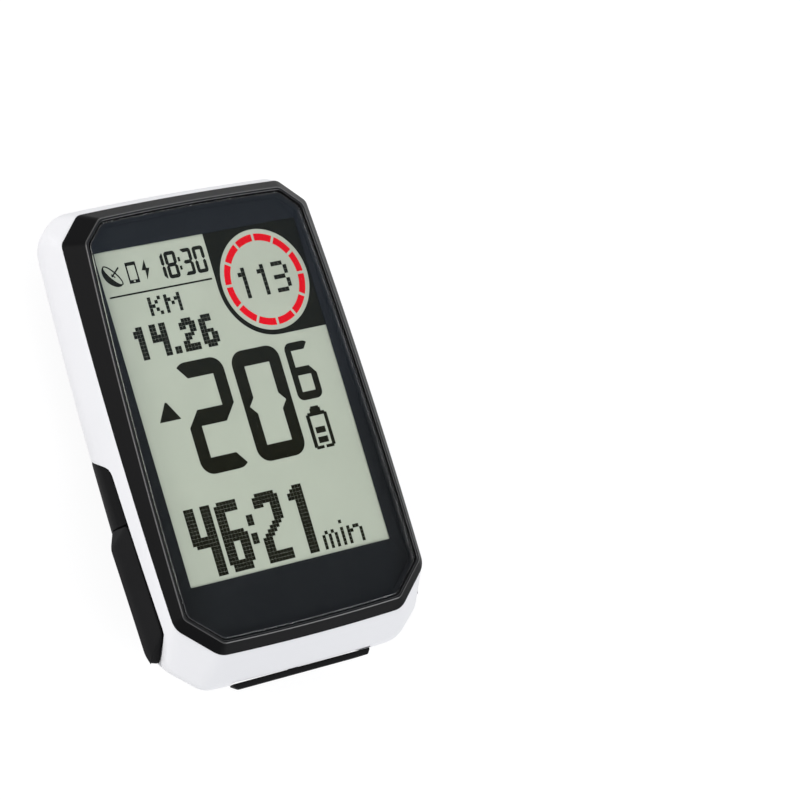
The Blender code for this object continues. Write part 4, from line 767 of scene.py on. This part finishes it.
# White shell: the middle of the case, a ring of satin white plastic between the bezel and the cover. Its
# flanks are notched for the cover's cheeks, its lower end holds a key, and four posts take the screws.
WHITE_PLASTIC = moulded(
    "satin_white_plastic", (0.79, 0.79, 0.815), (0.83, 0.83, 0.85), 0.33, 0.28, 0.008,
    specular=0.45, patch=30.0,
)
POST_RADIUS = 2.4 * MM
POST_TOP = 13.4 * MM
WEB_HALF = 0.6 * MM
WEB_BACK = 9.0 * MM
WEB_DROP = 0.4 * MM
LOWER_WEB = 5.2 * MM
UPPER_WEB = 6.4 * MM
INSERT_RADIUS = 1.6 * MM
INSERT_END = 11.1 * MM
BOTTOM_EDGE_Y = -38.65 * MM

# Half the bottom key's length, and the heights of its back and front edges.
BOTTOM_KEY = (13.4 * MM, 9.65 * MM, 13.25 * MM)
BAR_TAPER = 1.6 * MM
BAR_DEPTH = 0.8 * MM
BAR_CORNER = 0.7 * MM
BAR_PIN_Z = 10.45 * MM


def block(low, high):
    low = Vector(low)
    high = Vector(high)
    bm = bmesh.new()
    bmesh.ops.create_cube(bm, size=1.0)
    bmesh.ops.scale(bm, vec=high - low, verts=bm.verts)
    bmesh.ops.translate(bm, vec=(high + low) / 2, verts=bm.verts)
    return bm


def bar_corners(half, low, high):
    """The bottom key seen from its front, narrower at its back edge: lower right, upper right and so on."""
    lower = half - BAR_TAPER
    return [Vector(p) for p in ((lower, low), (half, high), (-half, high), (-lower, low))]


def make_white_shell():
    lift = SEAT / 2
    outer = cut_paths(flank_paths(), lift)[0]
    inner = cut_paths(inner_paths(), lift)[0]
    ways = [(b[-1] - a[-1]).normalized() for a, b in zip(outer, inner)]
    fronts = [(b[0] - a[0]).normalized() for a, b in zip(outer, inner)]
    outer = [lipped(lipped(p, way, True), front, False) for p, way, front in zip(outer, ways, fronts)]
    inner = [lipped(path, -way, True) for path, way in zip(inner, ways)]
    loops = [list(loop) for loop in zip(*outer)] + [list(loop) for loop in zip(*inner)][::-1]
    bm = loft(loops, closed=True)
    tidy(bm)
    shell = new_object("white_shell", bm, WHITE_PLASTIC)
    half, low, high = BOTTOM_KEY
    floor = BOTTOM_EDGE_Y + BAR_DEPTH
    corners = bar_corners(half + RUN, low - RUN, high + RUN)
    pocket = rounded(corners, BAR_CORNER)
    tool = loft([[(p.x, y, p.y) for p in pocket] for y in (floor - 2 * PAST, floor)])
    carve(shell, tool)
    for side in (-1, 1):
        carve(shell, prism(key_foot(0.0), side * KEY_FLOOR_X, side * (KEY_FLUSH_X + PAST), "x"))
    for x, y in POSTS:
        post = rod(POST_RADIUS, (x, y, Z_JOINT + SEAT / 2), (x, y, POST_TOP))
        out = Vector((1 if x > 0 else -1, 1 if y > 0 else -1, 0)).normalized()
        reach = UPPER_WEB if y > 0 else LOWER_WEB
        web = block((0, -WEB_HALF, WEB_BACK), (reach, WEB_HALF, POST_TOP - WEB_DROP))
        turn = Vector((1, 0, 0)).rotation_difference(out).to_matrix().to_4x4()
        bmesh.ops.transform(web, matrix=Matrix.Translation((x, y, 0)) @ turn, verts=web.verts)
        carve(shell, post, "UNION")
        carve(shell, web, "UNION")
        bore(shell, INSERT_RADIUS, (x, y), Z_BACK, INSERT_END, 32)
    pin_hole = rod(PIN_RADIUS + RUN, (0, floor - SEAT, BAR_PIN_Z), (0, floor + 2 * WALL, BAR_PIN_Z), 32)
    carve(shell, pin_hole)
    fit(shell, "case", "white_plastic", "middle_housing")


make_white_shell()


# Keys: two side keys in the cheeks and one bar in the lower end, moulded in matt black rubber with soft
# creases. Each slides in its pocket, and its pin pushes the plunger of a switch at the board's edge.
BLACK_RUBBER = moulded(
    "matt_black_rubber", (0.0095, 0.0095, 0.0101), (0.013, 0.013, 0.0137), 0.60, 0.16, 0.03,
    specular=0.05, patch=6.0,
)
KEY_ROOM = 0.5 * MM
KEY_PIN_END_X = 21.45 * MM
KEY_CORNER = 0.9 * MM

# How far each corner of a side key moves from its foot to its crest, in millimetres, and the shares of that
# way where the soft crease starts and ends.
KEY_SLOPES = [(0.4, 1.55), (0.2, 0.2), (-2.6, -2.15), (-2.2, -2.4), (-2.2, 0.6)]
KEY_CREASE = (0.75, 1.3)
KEY_CREASE_STEPS = 7

BAR_PROUD = 0.65 * MM
BAR_SLOPE = 0.5 * MM
BAR_UNDERCUT = 1.3 * MM
BAR_LOWER_ROUND = 0.8 * MM
BAR_UPPER_ROUND = 0.4 * MM


def make_side_key(name, side):
    inner = KEY_FLOOR_X + KEY_ROOM
    levels = [(inner, 0.0), (KEY_FLUSH_X, 0.0)]
    first, last = KEY_CREASE
    for k in range(KEY_CREASE_STEPS + 1):
        t = k / KEY_CREASE_STEPS
        levels.append((KEY_FLUSH_X + KEY_PROUD * bend(first, 1.0, 1.0, t), bend(first, 1.0, last, t)))
    slopes = [Vector(slope) * MM for slope in KEY_SLOPES]
    loops = []
    for x, share in levels:
        corners = [corner + slope * share for corner, slope in zip(key_foot(RUN), slopes)]
        loops.append([(side * x, p.x, p.y) for p in rounded(corners, KEY_CORNER)])
    key = new_object(name + "_cap", loft(loops), BLACK_RUBBER)
    pin = rod(PIN_RADIUS, (side * KEY_PIN_END_X, *PIN_PLACE), (side * (inner + SEAT), *PIN_PLACE), 32)
    carve(key, pin, "UNION")
    fit(key, name, "black_rubber", name)


def make_bottom_key():
    half, low, high = BOTTOM_KEY
    inner = BOTTOM_EDGE_Y + BAR_DEPTH - KEY_ROOM
    crest = BOTTOM_EDGE_Y - BAR_PROUD
    loops = []
    for y, share in ((inner, 0.0), (BOTTOM_EDGE_Y, 0.0), (crest, 1.0)):
        corners = bar_corners(half - BAR_SLOPE * share, low + BAR_UNDERCUT * share, high)
        loops.append([(p.x, y, p.y) for p in corners])
    bm = loft(loops)
    rails = [e for e in bm.edges if abs(e.verts[0].co.y - e.verts[1].co.y) > WELD]
    middle = (low + high) / 2
    lower = [e for e in rails if max(v.co.z for v in e.verts) < middle]
    upper = [e for e in rails if e not in lower]
    soften(bm, lower, BAR_LOWER_ROUND, 6)
    soften(bm, upper, BAR_UPPER_ROUND, 4)
    front = [e for e in bm.edges if all(abs(v.co.y - crest) < SAME_LEVEL for v in e.verts)]
    soften(bm, front, SOFT_EDGE, 4)
    key = new_object("bottom_key_bar", bm, BLACK_RUBBER)
    pin_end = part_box("bottom_key")[1].y
    carve(key, rod(PIN_RADIUS, (0, inner - SEAT, BAR_PIN_Z), (0, pin_end, BAR_PIN_Z), 32), "UNION")
    fit(key, "bottom_key", "black_rubber", "bottom_key")


make_side_key("left_key", -1)
make_side_key("right_key", 1)
make_bottom_key()
paint(TINNED_STEEL, "left_switch", "right_switch", "bottom_switch")
paint(MOULDED_BLACK, "left_plunger", "right_plunger", "bottom_plunger")


# Display: a reflective liquid crystal cell between two polarisers, on a light guide in a plastic tray, with
# a printed ribbon down to the board. The front film shows as a pale grey green sheet with a faint mottle.
DISPLAY_FILM = moulded(
    "display_film", (0.495, 0.54, 0.45), (0.54, 0.59, 0.495), 0.5, 0.5, 0.004, specular=0.05, patch=7.0
)
DISPLAY_GLASS = moulded("display_glass", (0.46, 0.50, 0.41), (0.54, 0.58, 0.48), 0.14, 3.0, 0.002)
LIGHT_GUIDE = moulded("light_guide", (0.70, 0.73, 0.71), (0.78, 0.80, 0.78), 0.2, 0.6, 0.01)
LAMP_PLASTIC = moulded("lamp_plastic", (0.80, 0.74, 0.40), (0.88, 0.83, 0.50), 0.3, 0.4, 0.004)
RIBBON_FILM = moulded("ribbon_film", (0.36, 0.16, 0.035), (0.46, 0.23, 0.06), 0.38, 0.6, 0.004)

paint(DISPLAY_FILM, "front_polariser", "rear_polariser")
paint(DISPLAY_GLASS, "front_glass", "rear_glass")
paint(LIGHT_GUIDE, "light_guide")
paint(LAMP_PLASTIC, "left_lamp", "right_lamp")
paint(MOULDED_WHITE, "display_tray")
paint(RIBBON_FILM, "display_ribbon")


# Readout: the dark segments and dots that the cell shows, and a printed red ring of twelve bars. They lie on
# the front film as plates about a hundredth of a millimetre thick. Places are millimetres on the display.
INK = moulded(
    "crystal_ink", (0.0105, 0.0105, 0.005), (0.0145, 0.0145, 0.008), 0.5, 0.4, 0.002, specular=0.03, patch=3.0
)
RING_RED = moulded(
    "ring_red", (0.80, 0.003, 0.010), (0.85, 0.004, 0.014), 0.5, 0.4, 0.002, specular=0.03, patch=5.0
)
INK_THICKNESS = 0.008 * MM
FILM_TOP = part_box("front_polariser")[1].z
SHIFT = Vector((0.19, 0.03))
DOT_GAP = 0.018
CORNER_ARC = 8
HALF_ARC = 4

ink = bmesh.new()
red = bmesh.new()


def lay(bm, points):
    """A flat face on the film, from points in millimetres on the display."""
    return bm.faces.new([bm.verts.new((*((Vector(p) + SHIFT) * MM), FILM_TOP)) for p in points])


def bar(low, high):
    lay(ink, [low, (high[0], low[1]), high, (low[0], high[1])])


def stroke(start, end, width):
    """A straight line of a width."""
    along = Vector(end) - Vector(start)
    side = Vector((-along.y, along.x)).normalized() * width / 2
    lay(ink, [Vector(start) - side, Vector(end) - side, Vector(end) + side, Vector(start) + side])


def dots(pitch, left, top, rows):
    """A dot figure from rows of marks, each row with the times it repeats, hung from its upper left."""
    across, down = pitch
    edge = Vector((DOT_GAP, DOT_GAP)) / 2
    y = top
    for marks, times in rows:
        for _ in range(times):
            for column, mark in enumerate(marks):
                if mark == "#":
                    corner = Vector((left + column * across, y - down))
                    bar(corner + edge, corner + Vector(pitch) - edge)
            y -= down


def quarter(centre, radius, start, end, steps):
    angles = [radians(start + (end - start) * k / steps) for k in range(steps + 1)]
    return [Vector(centre) + Vector((cos(a), sin(a))) * radius for a in angles]


def figure(lit, low, high, across, along, radius, gap):
    """A seven-segment digit in a box: bar widths across and along, outer corner radius and hairline gap."""
    left, bottom = low
    right, top = high
    inner_left, inner_right = left + across, right - across
    inner_low, inner_high = bottom + along, top - along
    middle = (bottom + top) / 2
    up, down = middle + along / 2, middle - along / 2
    corner = {
        "tl": quarter((left + radius, top - radius), radius, 90, 180, CORNER_ARC),
        "tr": quarter((right - radius, top - radius), radius, 0, 90, CORNER_ARC),
        "bl": quarter((left + radius, bottom + radius), radius, 180, 270, CORNER_ARC),
        "br": quarter((right - radius, bottom + radius), radius, 270, 360, CORNER_ARC),
    }
    early = {name: arc[: HALF_ARC + 1] for name, arc in corner.items()}
    late = {name: arc[HALF_ARC:] for name, arc in corner.items()}
    left_tip = (left + across / 2, middle)
    right_tip = (right - across / 2, middle)
    shapes = {
        "a": [(inner_left, inner_high), (inner_right, inner_high), *late["tr"], *early["tl"]],
        "b": [(inner_right, inner_high), (inner_right, up), right_tip, (right, up), *early["tr"]],
        "c": [(inner_right, inner_low), *late["br"], (right, down), right_tip, (inner_right, down)],
        "d": [(inner_right, inner_low), (inner_left, inner_low), *late["bl"], *early["br"]],
        "e": [(inner_left, inner_low), (inner_left, down), left_tip, (left, down), *early["bl"]],
        "f": [(inner_left, inner_high), *late["tl"], (left, up), left_tip, (inner_left, up)],
        "g": [
            (inner_left, up), left_tip, (inner_left, down), (inner_right, down), right_tip, (inner_right, up),
        ],
        "l": [(left, up), (left, down), left_tip],
        "r": [(right, down), (right, up), right_tip],
    }
    faces = [lay(ink, shapes[name]) for name in lit]
    cuts = bmesh.ops.inset_individual(ink, faces=faces, thickness=gap / 2 * MM, use_even_offset=True)
    bmesh.ops.delete(ink, geom=cuts["faces"], context="FACES")


# Speed: two tall figures, a small one for the tenth, and the pointer beside them.
TALL_BARS = (2.2, 2.6, 2.3, 0.13)
figure("abged", (-11.0, -6.5), (-1.85, 11.5), *TALL_BARS)
figure("abcdeflr", (-0.3, -6.5), (8.85, 11.5), *TALL_BARS)
figure("acdefgl", (10.05, 1.65), (14.85, 11.1), 1.15, 1.35, 1.2, 0.08)
lay(ink, [(-16.0, 3.0), (-12.0, 3.0), (-13.85, 5.95), (-14.15, 5.95)])

# Charge level: a cell's outline with a cap, two bars and a break in its lower edge.
for low, high in (
    ((10.4, -6.1), (11.1, -0.75)), ((13.8, -6.1), (14.45, -0.75)), ((10.75, -1.05), (14.1, -0.45)),
    ((11.4, -0.45), (13.45, 0.2)), ((11.65, 0.2), (13.2, 0.5)), ((10.75, -6.4), (12.2, -5.9)),
    ((12.6, -6.4), (14.1, -5.9)), ((11.5, -3.9), (13.35, -2.9)), ((11.5, -5.5), (13.35, -4.5)),
):
    bar(low, high)

# Clock in slim segments, over a rule.
figure("bc", (-9.1, 24.75), (-7.0, 29.1), 0.58, 0.6, 0.3, 0.1)
for lit, left, right in (("abcdefg", -6.75, -4.65), ("abcdg", -3.75, -1.72), ("abcdef", -1.4, 0.65)):
    figure(lit, (left, 24.75), (right, 29.1), 0.58, 0.6, 0.5, 0.1)
for low, high in (
    ((-4.4, 27.2), (-3.98, 27.9)), ((-4.4, 25.85), (-3.98, 26.5)), ((-18.35, 23.42), (0.75, 23.7)),
):
    bar(low, high)

# Signs for reception, a linked phone and power: a dish, a slab and a bolt.
DISH_CENTRE = Vector((-16.72, 26.92))
DISH_ALONG = Vector((0.64, -0.768))
DISH_ACROSS = Vector((-0.768, -0.64))


def dish_arc(along, across, start, end, steps=24):
    angles = [radians(start + (end - start) * k / steps) for k in range(steps + 1)]
    return [DISH_CENTRE + DISH_ALONG * along * cos(a) + DISH_ACROSS * across * sin(a) for a in angles]


lay(ink, dish_arc(2.15, 1.5, 0, 180) + dish_arc(1.95, 0.5, 180, 0))
lay(ink, dish_arc(2.2, 0.74, 180, 360) + dish_arc(1.95, 0.5, 360, 180))
stroke((-16.95, 26.75), (-15.35, 28.05), 0.27)
stroke((-16.95, 27.15), (-16.35, 26.55), 0.2)
for low, high in (
    ((-14.1, 25.5), (-13.82, 28.2)), ((-12.46, 25.5), (-12.18, 28.2)), ((-14.1, 28.0), (-12.18, 28.55)),
    ((-14.1, 25.15), (-12.18, 25.33)), ((-14.1, 25.33), (-13.3, 25.7)), ((-12.98, 25.33), (-12.18, 25.7)),
    ((-13.3, 25.6), (-12.98, 25.7)),
):
    bar(low, high)
lay(ink, [(-10.48, 28.55), (-11.35, 26.92), (-10.72, 26.84), (-10.78, 25.3), (-9.88, 27.12), (-10.42, 27.18)])

# Distance in the unit KM, elapsed time in min, and the ring's number, as dot figures. A pitch is the width
# and the height of a dot.
UNIT_DOTS = (0.6, 0.6)
dots(UNIT_DOTS, -11.95, 22.55, [
    ("#..#.#...#", 1), ("#.#..##.##", 1), ("##...#.#.#", 1), ("#.#..#...#", 1), ("#..#.#...#", 1),
])
DISTANCE_DOTS = (0.6, 0.59)
dots(DISTANCE_DOTS, -16.15, 18.3, [(".##", 1), ("###", 2), (".##", 6)])
dots(DISTANCE_DOTS, -13.1, 18.3, [("##.##", 3), ("#####", 2), ("...##", 4)])
dots(DISTANCE_DOTS, -9.5, 14.17, [("##", 2)])
dots(DISTANCE_DOTS, -7.68, 18.3, [
    (".###.", 1), ("#####", 1), ("##.##", 1), ("...##", 1), (".###.", 1), (".##..", 1), ("##...", 1),
    ("#####", 2),
])
dots(DISTANCE_DOTS, -4.02, 18.3, [
    (".###.", 1), ("####.", 1), ("##...", 2), ("####.", 1), ("##.##", 2), ("#####", 1), (".###.", 1),
])
TIME_DOTS = (0.605, 0.586)
dots(TIME_DOTS, -16.55, -10.9, [("###..###", 8), ("########", 2), (".#######", 1), (".....###", 8)])
dots(TIME_DOTS, -11.05, -10.9, [
    (".######.", 1), ("#######.", 2), ("###.....", 5), ("#######.", 1), ("########", 2), ("###..###", 5),
    ("########", 1), (".######.", 2),
])
for top in (-13.83, -16.76):
    dots(TIME_DOTS, -5.8, top, [("##", 3)])
dots(TIME_DOTS, -3.86, -10.9, [
    (".######.", 1), ("########", 2), ("###..###", 1), (".....###", 4), ("....###.", 1), ("...###..", 1),
    ("..###...", 1), (".###....", 1), ("###.....", 4), ("########", 3),
])
dots(TIME_DOTS, 2.72, -10.9, [("..###", 1), (".####", 1), ("#####", 2), ("..###", 15)])
MINUTE_DOTS = (0.6, 0.586)
dots(MINUTE_DOTS, 6.92, -19.1, [(".#.#.", 1), ("#.#.#", 4)])
dots(MINUTE_DOTS, 10.57, -17.93, [("#", 1), (".", 1), ("#", 5)])
dots(MINUTE_DOTS, 11.78, -19.1, [("#.##.", 1), ("##..#", 1), ("#...#", 3)])
RING_DOTS = (0.73, 0.722)
for left in (5.6, 9.27):
    dots(RING_DOTS, left, 24.35, [(".#", 1), ("##", 1), (".#", 5)])
dots(RING_DOTS, 12.2, 24.35, [("###.", 1), ("...#", 2), ("###.", 1), ("...#", 2), ("###.", 1)])

# Ring: twelve red bars on a pale disc, in a dark field that fills the display's upper right corner.
RING_CENTRE = Vector((10.4, 21.85))
RING_BARS = 12
RING_RADII = (7.5, 6.35)
RING_GAP = 0.45
RING_STEPS = 10
DISC_RADIUS = 8.25
FIELD_RADIUS = 9.05
FIELD_CORNER = Vector((19.6, 31.2))


def make_ring_field():
    """The dark field round the ring, with a round hole, and the ring's bars."""
    low = RING_CENTRE - Vector((FIELD_RADIUS, FIELD_RADIUS))
    outer = quarter(RING_CENTRE, FIELD_RADIUS, 180, 270, 32)
    outer += [Vector((FIELD_CORNER.x, low.y)), FIELD_CORNER, Vector((low.x, FIELD_CORNER.y))]
    hole = quarter(RING_CENTRE, DISC_RADIUS, 0, 360, 96)[:-1]
    edges = []
    for loop in (outer, hole):
        verts = [ink.verts.new((*((p + SHIFT) * MM), FILM_TOP)) for p in loop]
        edges += [ink.edges.new((verts[k - 1], verts[k])) for k in range(len(verts))]
    bmesh.ops.triangle_fill(ink, edges=edges, use_beauty=True, use_dissolve=False)
    for k in range(RING_BARS):
        loop = []
        for radius, way in zip(RING_RADII, (1, -1)):
            trim = asin(RING_GAP / 2 / radius)
            first = k * tau / RING_BARS + trim
            last = (k + 1) * tau / RING_BARS - trim
            angles = [first + (last - first) * step / RING_STEPS for step in range(RING_STEPS + 1)][::way]
            loop += [RING_CENTRE + Vector((cos(a), sin(a))) * radius for a in angles]
        lay(red, loop)


make_ring_field()
for name, bm, material in (("readout_ink", ink, INK), ("readout_ring", red, RING_RED)):
    bmesh.ops.recalc_face_normals(bm, faces=bm.faces)
    down = [face for face in bm.faces if face.normal.z < 0]
    bmesh.ops.reverse_faces(bm, faces=down)
    raised = bmesh.ops.extrude_face_region(bm, geom=bm.faces[:], use_keep_orig=True)["geom"]
    lifted = [item for item in raised if isinstance(item, bmesh.types.BMVert)]
    bmesh.ops.translate(bm, vec=(0, 0, INK_THICKNESS), verts=lifted)
    bmesh.ops.recalc_face_normals(bm, faces=bm.faces)
    fit(new_object(name, bm, material), "case", "polariser_film")


# Front bezel: an eight-sided frame of satin black plastic with a polished crest round the window, and a dull
# sill that slopes from the window's seat down to the display and frames it. A stepped spigot with a seal
# presses into the white shell.
Z_RIM = 20.0 * MM
Z_POCKET = 18.5 * MM
Z_SILL = 17.97 * MM
Z_LEDGE = 17.9 * MM
Z_SPIGOT = 15.0 * MM
WINDOW = (35.3, -31.8, 20.15, 22.4, (3.2, 3.1), (5.7, 4.8))
OPENING = (30.8, -22.75, 19.12, 19.12, (0.1, 0.1), (0.1, 0.1))
OPENING_CORNER = 0.05 * MM
SILL_INSET = -0.9
RIM_OUT = 0.65
RIM_ROUND = 0.25
RIM_STEPS = 5
POCKET_OUT = 0.15
POCKET_ROUND = 0.13
POCKET_STEPS = 4
SPIGOT_INSETS = (2.75, 2.1)
FLANGE_INSET = 1.3
HAIR = 0.0001 * MM
POLISHED_BLACK = moulded(
    "polished_black_rim", (0.006, 0.006, 0.0066), (0.009, 0.009, 0.0098), 0.22, 0.22, 0.004, specular=0.8
)
BORDER_BLACK = moulded(
    "dull_black_border", (0.0160, 0.0178, 0.0196), (0.0200, 0.0218, 0.0236), 0.6, 0.2, 0.004, specular=0.02
)


def level(plan, z, **bows):
    return [Vector((p.x, p.y, z)) for p in ring(plan, **bows)]


def opening(z):
    shift = Vector((*SHIFT, 0)) * MM
    return [p + shift for p in level(OPENING, z, corner=OPENING_CORNER, side_bow=0.0, end_bow=0.0)]


def on_parting(plan, lift):
    return [Vector((p.x, p.y, parting(p.y) + lift)) for p in ring(plan, low_corner=FOOT_CORNER)]


def make_bezel():
    foot = on_parting(FOOT, SEAT / 2)
    inset = on_parting(grown(FOOT, -LIP / MM), SEAT / 2)
    shoulder = level(grown(WINDOW, RIM_OUT), Z_RIM - RIM_ROUND * MM)
    lip = [a.lerp(b, LIP / (b - a).length) for a, b in zip(foot, shoulder)]
    loops = [inset]
    for k in range(1, LIP_STEPS):
        loops.append([bend(a, b, c, k / LIP_STEPS) for a, b, c in zip(inset, foot, lip)])
    for k in range(CREASE_STEPS + 1):
        loops.append([a.lerp(b, k / CREASE_STEPS) for a, b in zip(lip, shoulder)])
    for k in range(1, RIM_STEPS + 1):
        turn = k / RIM_STEPS * pi / 2
        plan = grown(WINDOW, RIM_OUT - RIM_ROUND * (1 - cos(turn)))
        loops.append(level(plan, Z_RIM - RIM_ROUND * MM * (1 - sin(turn))))
    for k in range(POCKET_STEPS + 1):
        turn = k / POCKET_STEPS * pi / 2
        plan = grown(WINDOW, POCKET_OUT + POCKET_ROUND * (1 - sin(turn)))
        loops.append(level(plan, Z_RIM - POCKET_ROUND * MM * (1 - cos(turn))))
    loops += [level(grown(WINDOW, POCKET_OUT), Z_POCKET), level(grown(WINDOW, SILL_INSET), Z_POCKET)]
    loops += [opening(Z_SILL), opening(Z_LEDGE)]
    inner, outer = (grown(FOOT, -depth) for depth in SPIGOT_INSETS)
    flange = grown(FOOT, -FLANGE_INSET)
    loops += [level(inner, Z_LEDGE), level(inner, Z_SPIGOT), level(outer, Z_SPIGOT), level(outer, Z_STEP)]
    loops += [level(flange, Z_STEP), on_parting(flange, SEAT / 2)]
    bm = loft(loops, closed=True)
    tidy(bm)
    for face in bm.faces:
        heights = [v.co.z for v in face.verts]
        on_sill = min(abs(min(heights) - z) for z in (Z_SILL, Z_POCKET)) < HAIR
        if sum(heights) / len(heights) > Z_RIM - RIM_ROUND * MM:
            face.material_index = 1
        elif on_sill and abs(max(heights) - Z_POCKET) < HAIR:
            face.material_index = 2
    bezel = new_object("front_bezel_frame", bm, BLACK_PLASTIC)
    bezel.data.materials.append(POLISHED_BLACK)
    bezel.data.materials.append(BORDER_BLACK)
    fit(bezel, "case", "black_plastic", "front_bezel")


make_bezel()


# Window and gasket: a clear acrylic pane with a rounded front edge, bonded to a narrow black gasket that runs
# under its rim. Both drop into the bezel's pocket from the front.
Z_FACE = 19.85 * MM
PANE_BACK = 18.85 * MM
PANE_GAP = 0.1
PANE_EDGE = 0.26
PANE_STEPS = 4
GASKET_INSET = 0.25
GASKET_BACK = 18.6 * MM
GASKET_FRONT = 18.75 * MM


def make_gasket():
    outer = grown(WINDOW, -GASKET_INSET)
    inner = grown(WINDOW, SILL_INSET)
    corners = ((outer, GASKET_BACK), (outer, GASKET_FRONT), (inner, GASKET_FRONT), (inner, GASKET_BACK))
    bm = loft([level(plan, z) for plan, z in corners], closed=True)
    tidy(bm)
    fit(new_object("window_gasket_frame", bm, BORDER_BLACK), "case", "black_rubber", "window_gasket")


def clear_acrylic():
    """Clear plastic that bends light to the eye and lets lamps through, with faint handling marks."""
    material = bpy.data.materials.new("clear_acrylic")
    material.use_nodes = True
    tree = material.node_tree
    where = add(tree, "TexCoord", {}).outputs["Object"]
    noise = add(tree, "TexNoise", {"Vector": where, "Scale": 1.0 / (5.0 * MM), "Detail": 5.0})
    marks = noise.outputs["Fac"]
    gloss = add(tree, "MapRange", {"Value": marks, "To Min": 0.0, "To Max": 0.025})
    tint = add(tree, "Mix", {0: marks, 6: (0.97, 0.98, 0.975, 1.0), 7: (1.0, 1.0, 1.0, 1.0)})
    tint.data_type = "RGBA"
    finish = {"Base Color": tint.outputs[2], "Roughness": gloss.outputs["Result"]}
    finish |= {"Transmission Weight": 1.0, "IOR": 1.49}
    shader = feed(tree, tree.nodes["Principled BSDF"], finish)
    shadow = add(tree, "LightPath", {}).outputs["Is Shadow Ray"]
    through = add(tree, "BsdfTransparent", {})
    choice = add(tree, "MixShader", {0: shadow, 1: shader.outputs[0], 2: through.outputs[0]})
    feed(tree, tree.nodes["Material Output"], {"Surface": choice.outputs[0]})
    return material


def make_window():
    pane = grown(WINDOW, -PANE_GAP)
    loops = [level(pane, PANE_BACK)]
    for k in range(PANE_STEPS + 1):
        turn = k / PANE_STEPS * pi / 2
        plan = grown(pane, -PANE_EDGE * (1 - cos(turn)))
        loops.append(level(plan, Z_FACE - PANE_EDGE * MM * (1 - sin(turn))))
    bm = loft(loops)
    tidy(bm)
    fit(new_object("window_pane", bm, clear_acrylic()), "case", "clear_plastic", "display_window")


make_gasket()
make_window()


# Charging door and case screws: a soft rubber flap over the socket, hinged on its upper edge, with a plug
# that seals the mouth, and four socket screws that pull the cover onto the white shell.
DOOR_HINGE = (-22.3 * MM, 5.25 * MM)
DOOR_FREE_Y = -30.9 * MM
DOOR_HALF = 7.5 * MM
DOOR_FRONT = 5.7 * MM
DOOR_CORNER = 2.0 * MM
DOOR_ROUND = 0.14 * MM
BARREL_RADIUS = 0.45 * MM
PLUG_HALF = (3.8 * MM, 0.95 * MM)
PLUG_CORNER = 0.85 * MM
PLUG_ENDS = (5.5 * MM, 6.75 * MM)
PLUG_ROUND = 0.2 * MM
NAIL_RADIUS = 5.0 * MM
NAIL_Y = DOOR_FREE_Y - 4.1 * MM
NAIL_DEPTH = 0.3 * MM
CASE_SCREW = (1.7 * MM, 0.8 * MM, 0.9 * MM, 4.8 * MM)


def make_door():
    hinge_y, hinge_z = DOOR_HINGE
    leaf = prism(slot_outline(DOOR_HALF, DOOR_FREE_Y, hinge_y, DOOR_CORNER), Z_BACK, DOOR_FRONT)
    soften(leaf, flat_rim(leaf, Z_BACK, DOOR_FRONT), DOOR_ROUND)
    door = new_object("charging_door", leaf, BLACK_RUBBER)
    barrel = DOOR_HALF - DOOR_CORNER
    carve(door, rod(BARREL_RADIUS, (-barrel, hinge_y, hinge_z), (barrel, hinge_y, hinge_z), 32), "UNION")
    half, rise = PLUG_HALF
    plug = prism(slot_outline(half, SOCKET_Y - rise, SOCKET_Y + rise, PLUG_CORNER), *PLUG_ENDS)
    soften(plug, flat_rim(plug, PLUG_ENDS[1]), PLUG_ROUND)
    carve(door, plug, "UNION")
    bore(door, NAIL_RADIUS, (0, NAIL_Y), Z_BACK - PAST, Z_BACK + NAIL_DEPTH, 64)
    fit(door, "socket_door", "black_rubber", "socket_door")


make_door()
for i, (x, y) in enumerate(POSTS, 1):
    make_screw(f"case_socket_screw_{i}", f"case_screw_{i}", (x, y, Z_BACK + SEAT / 2), *CASE_SCREW)
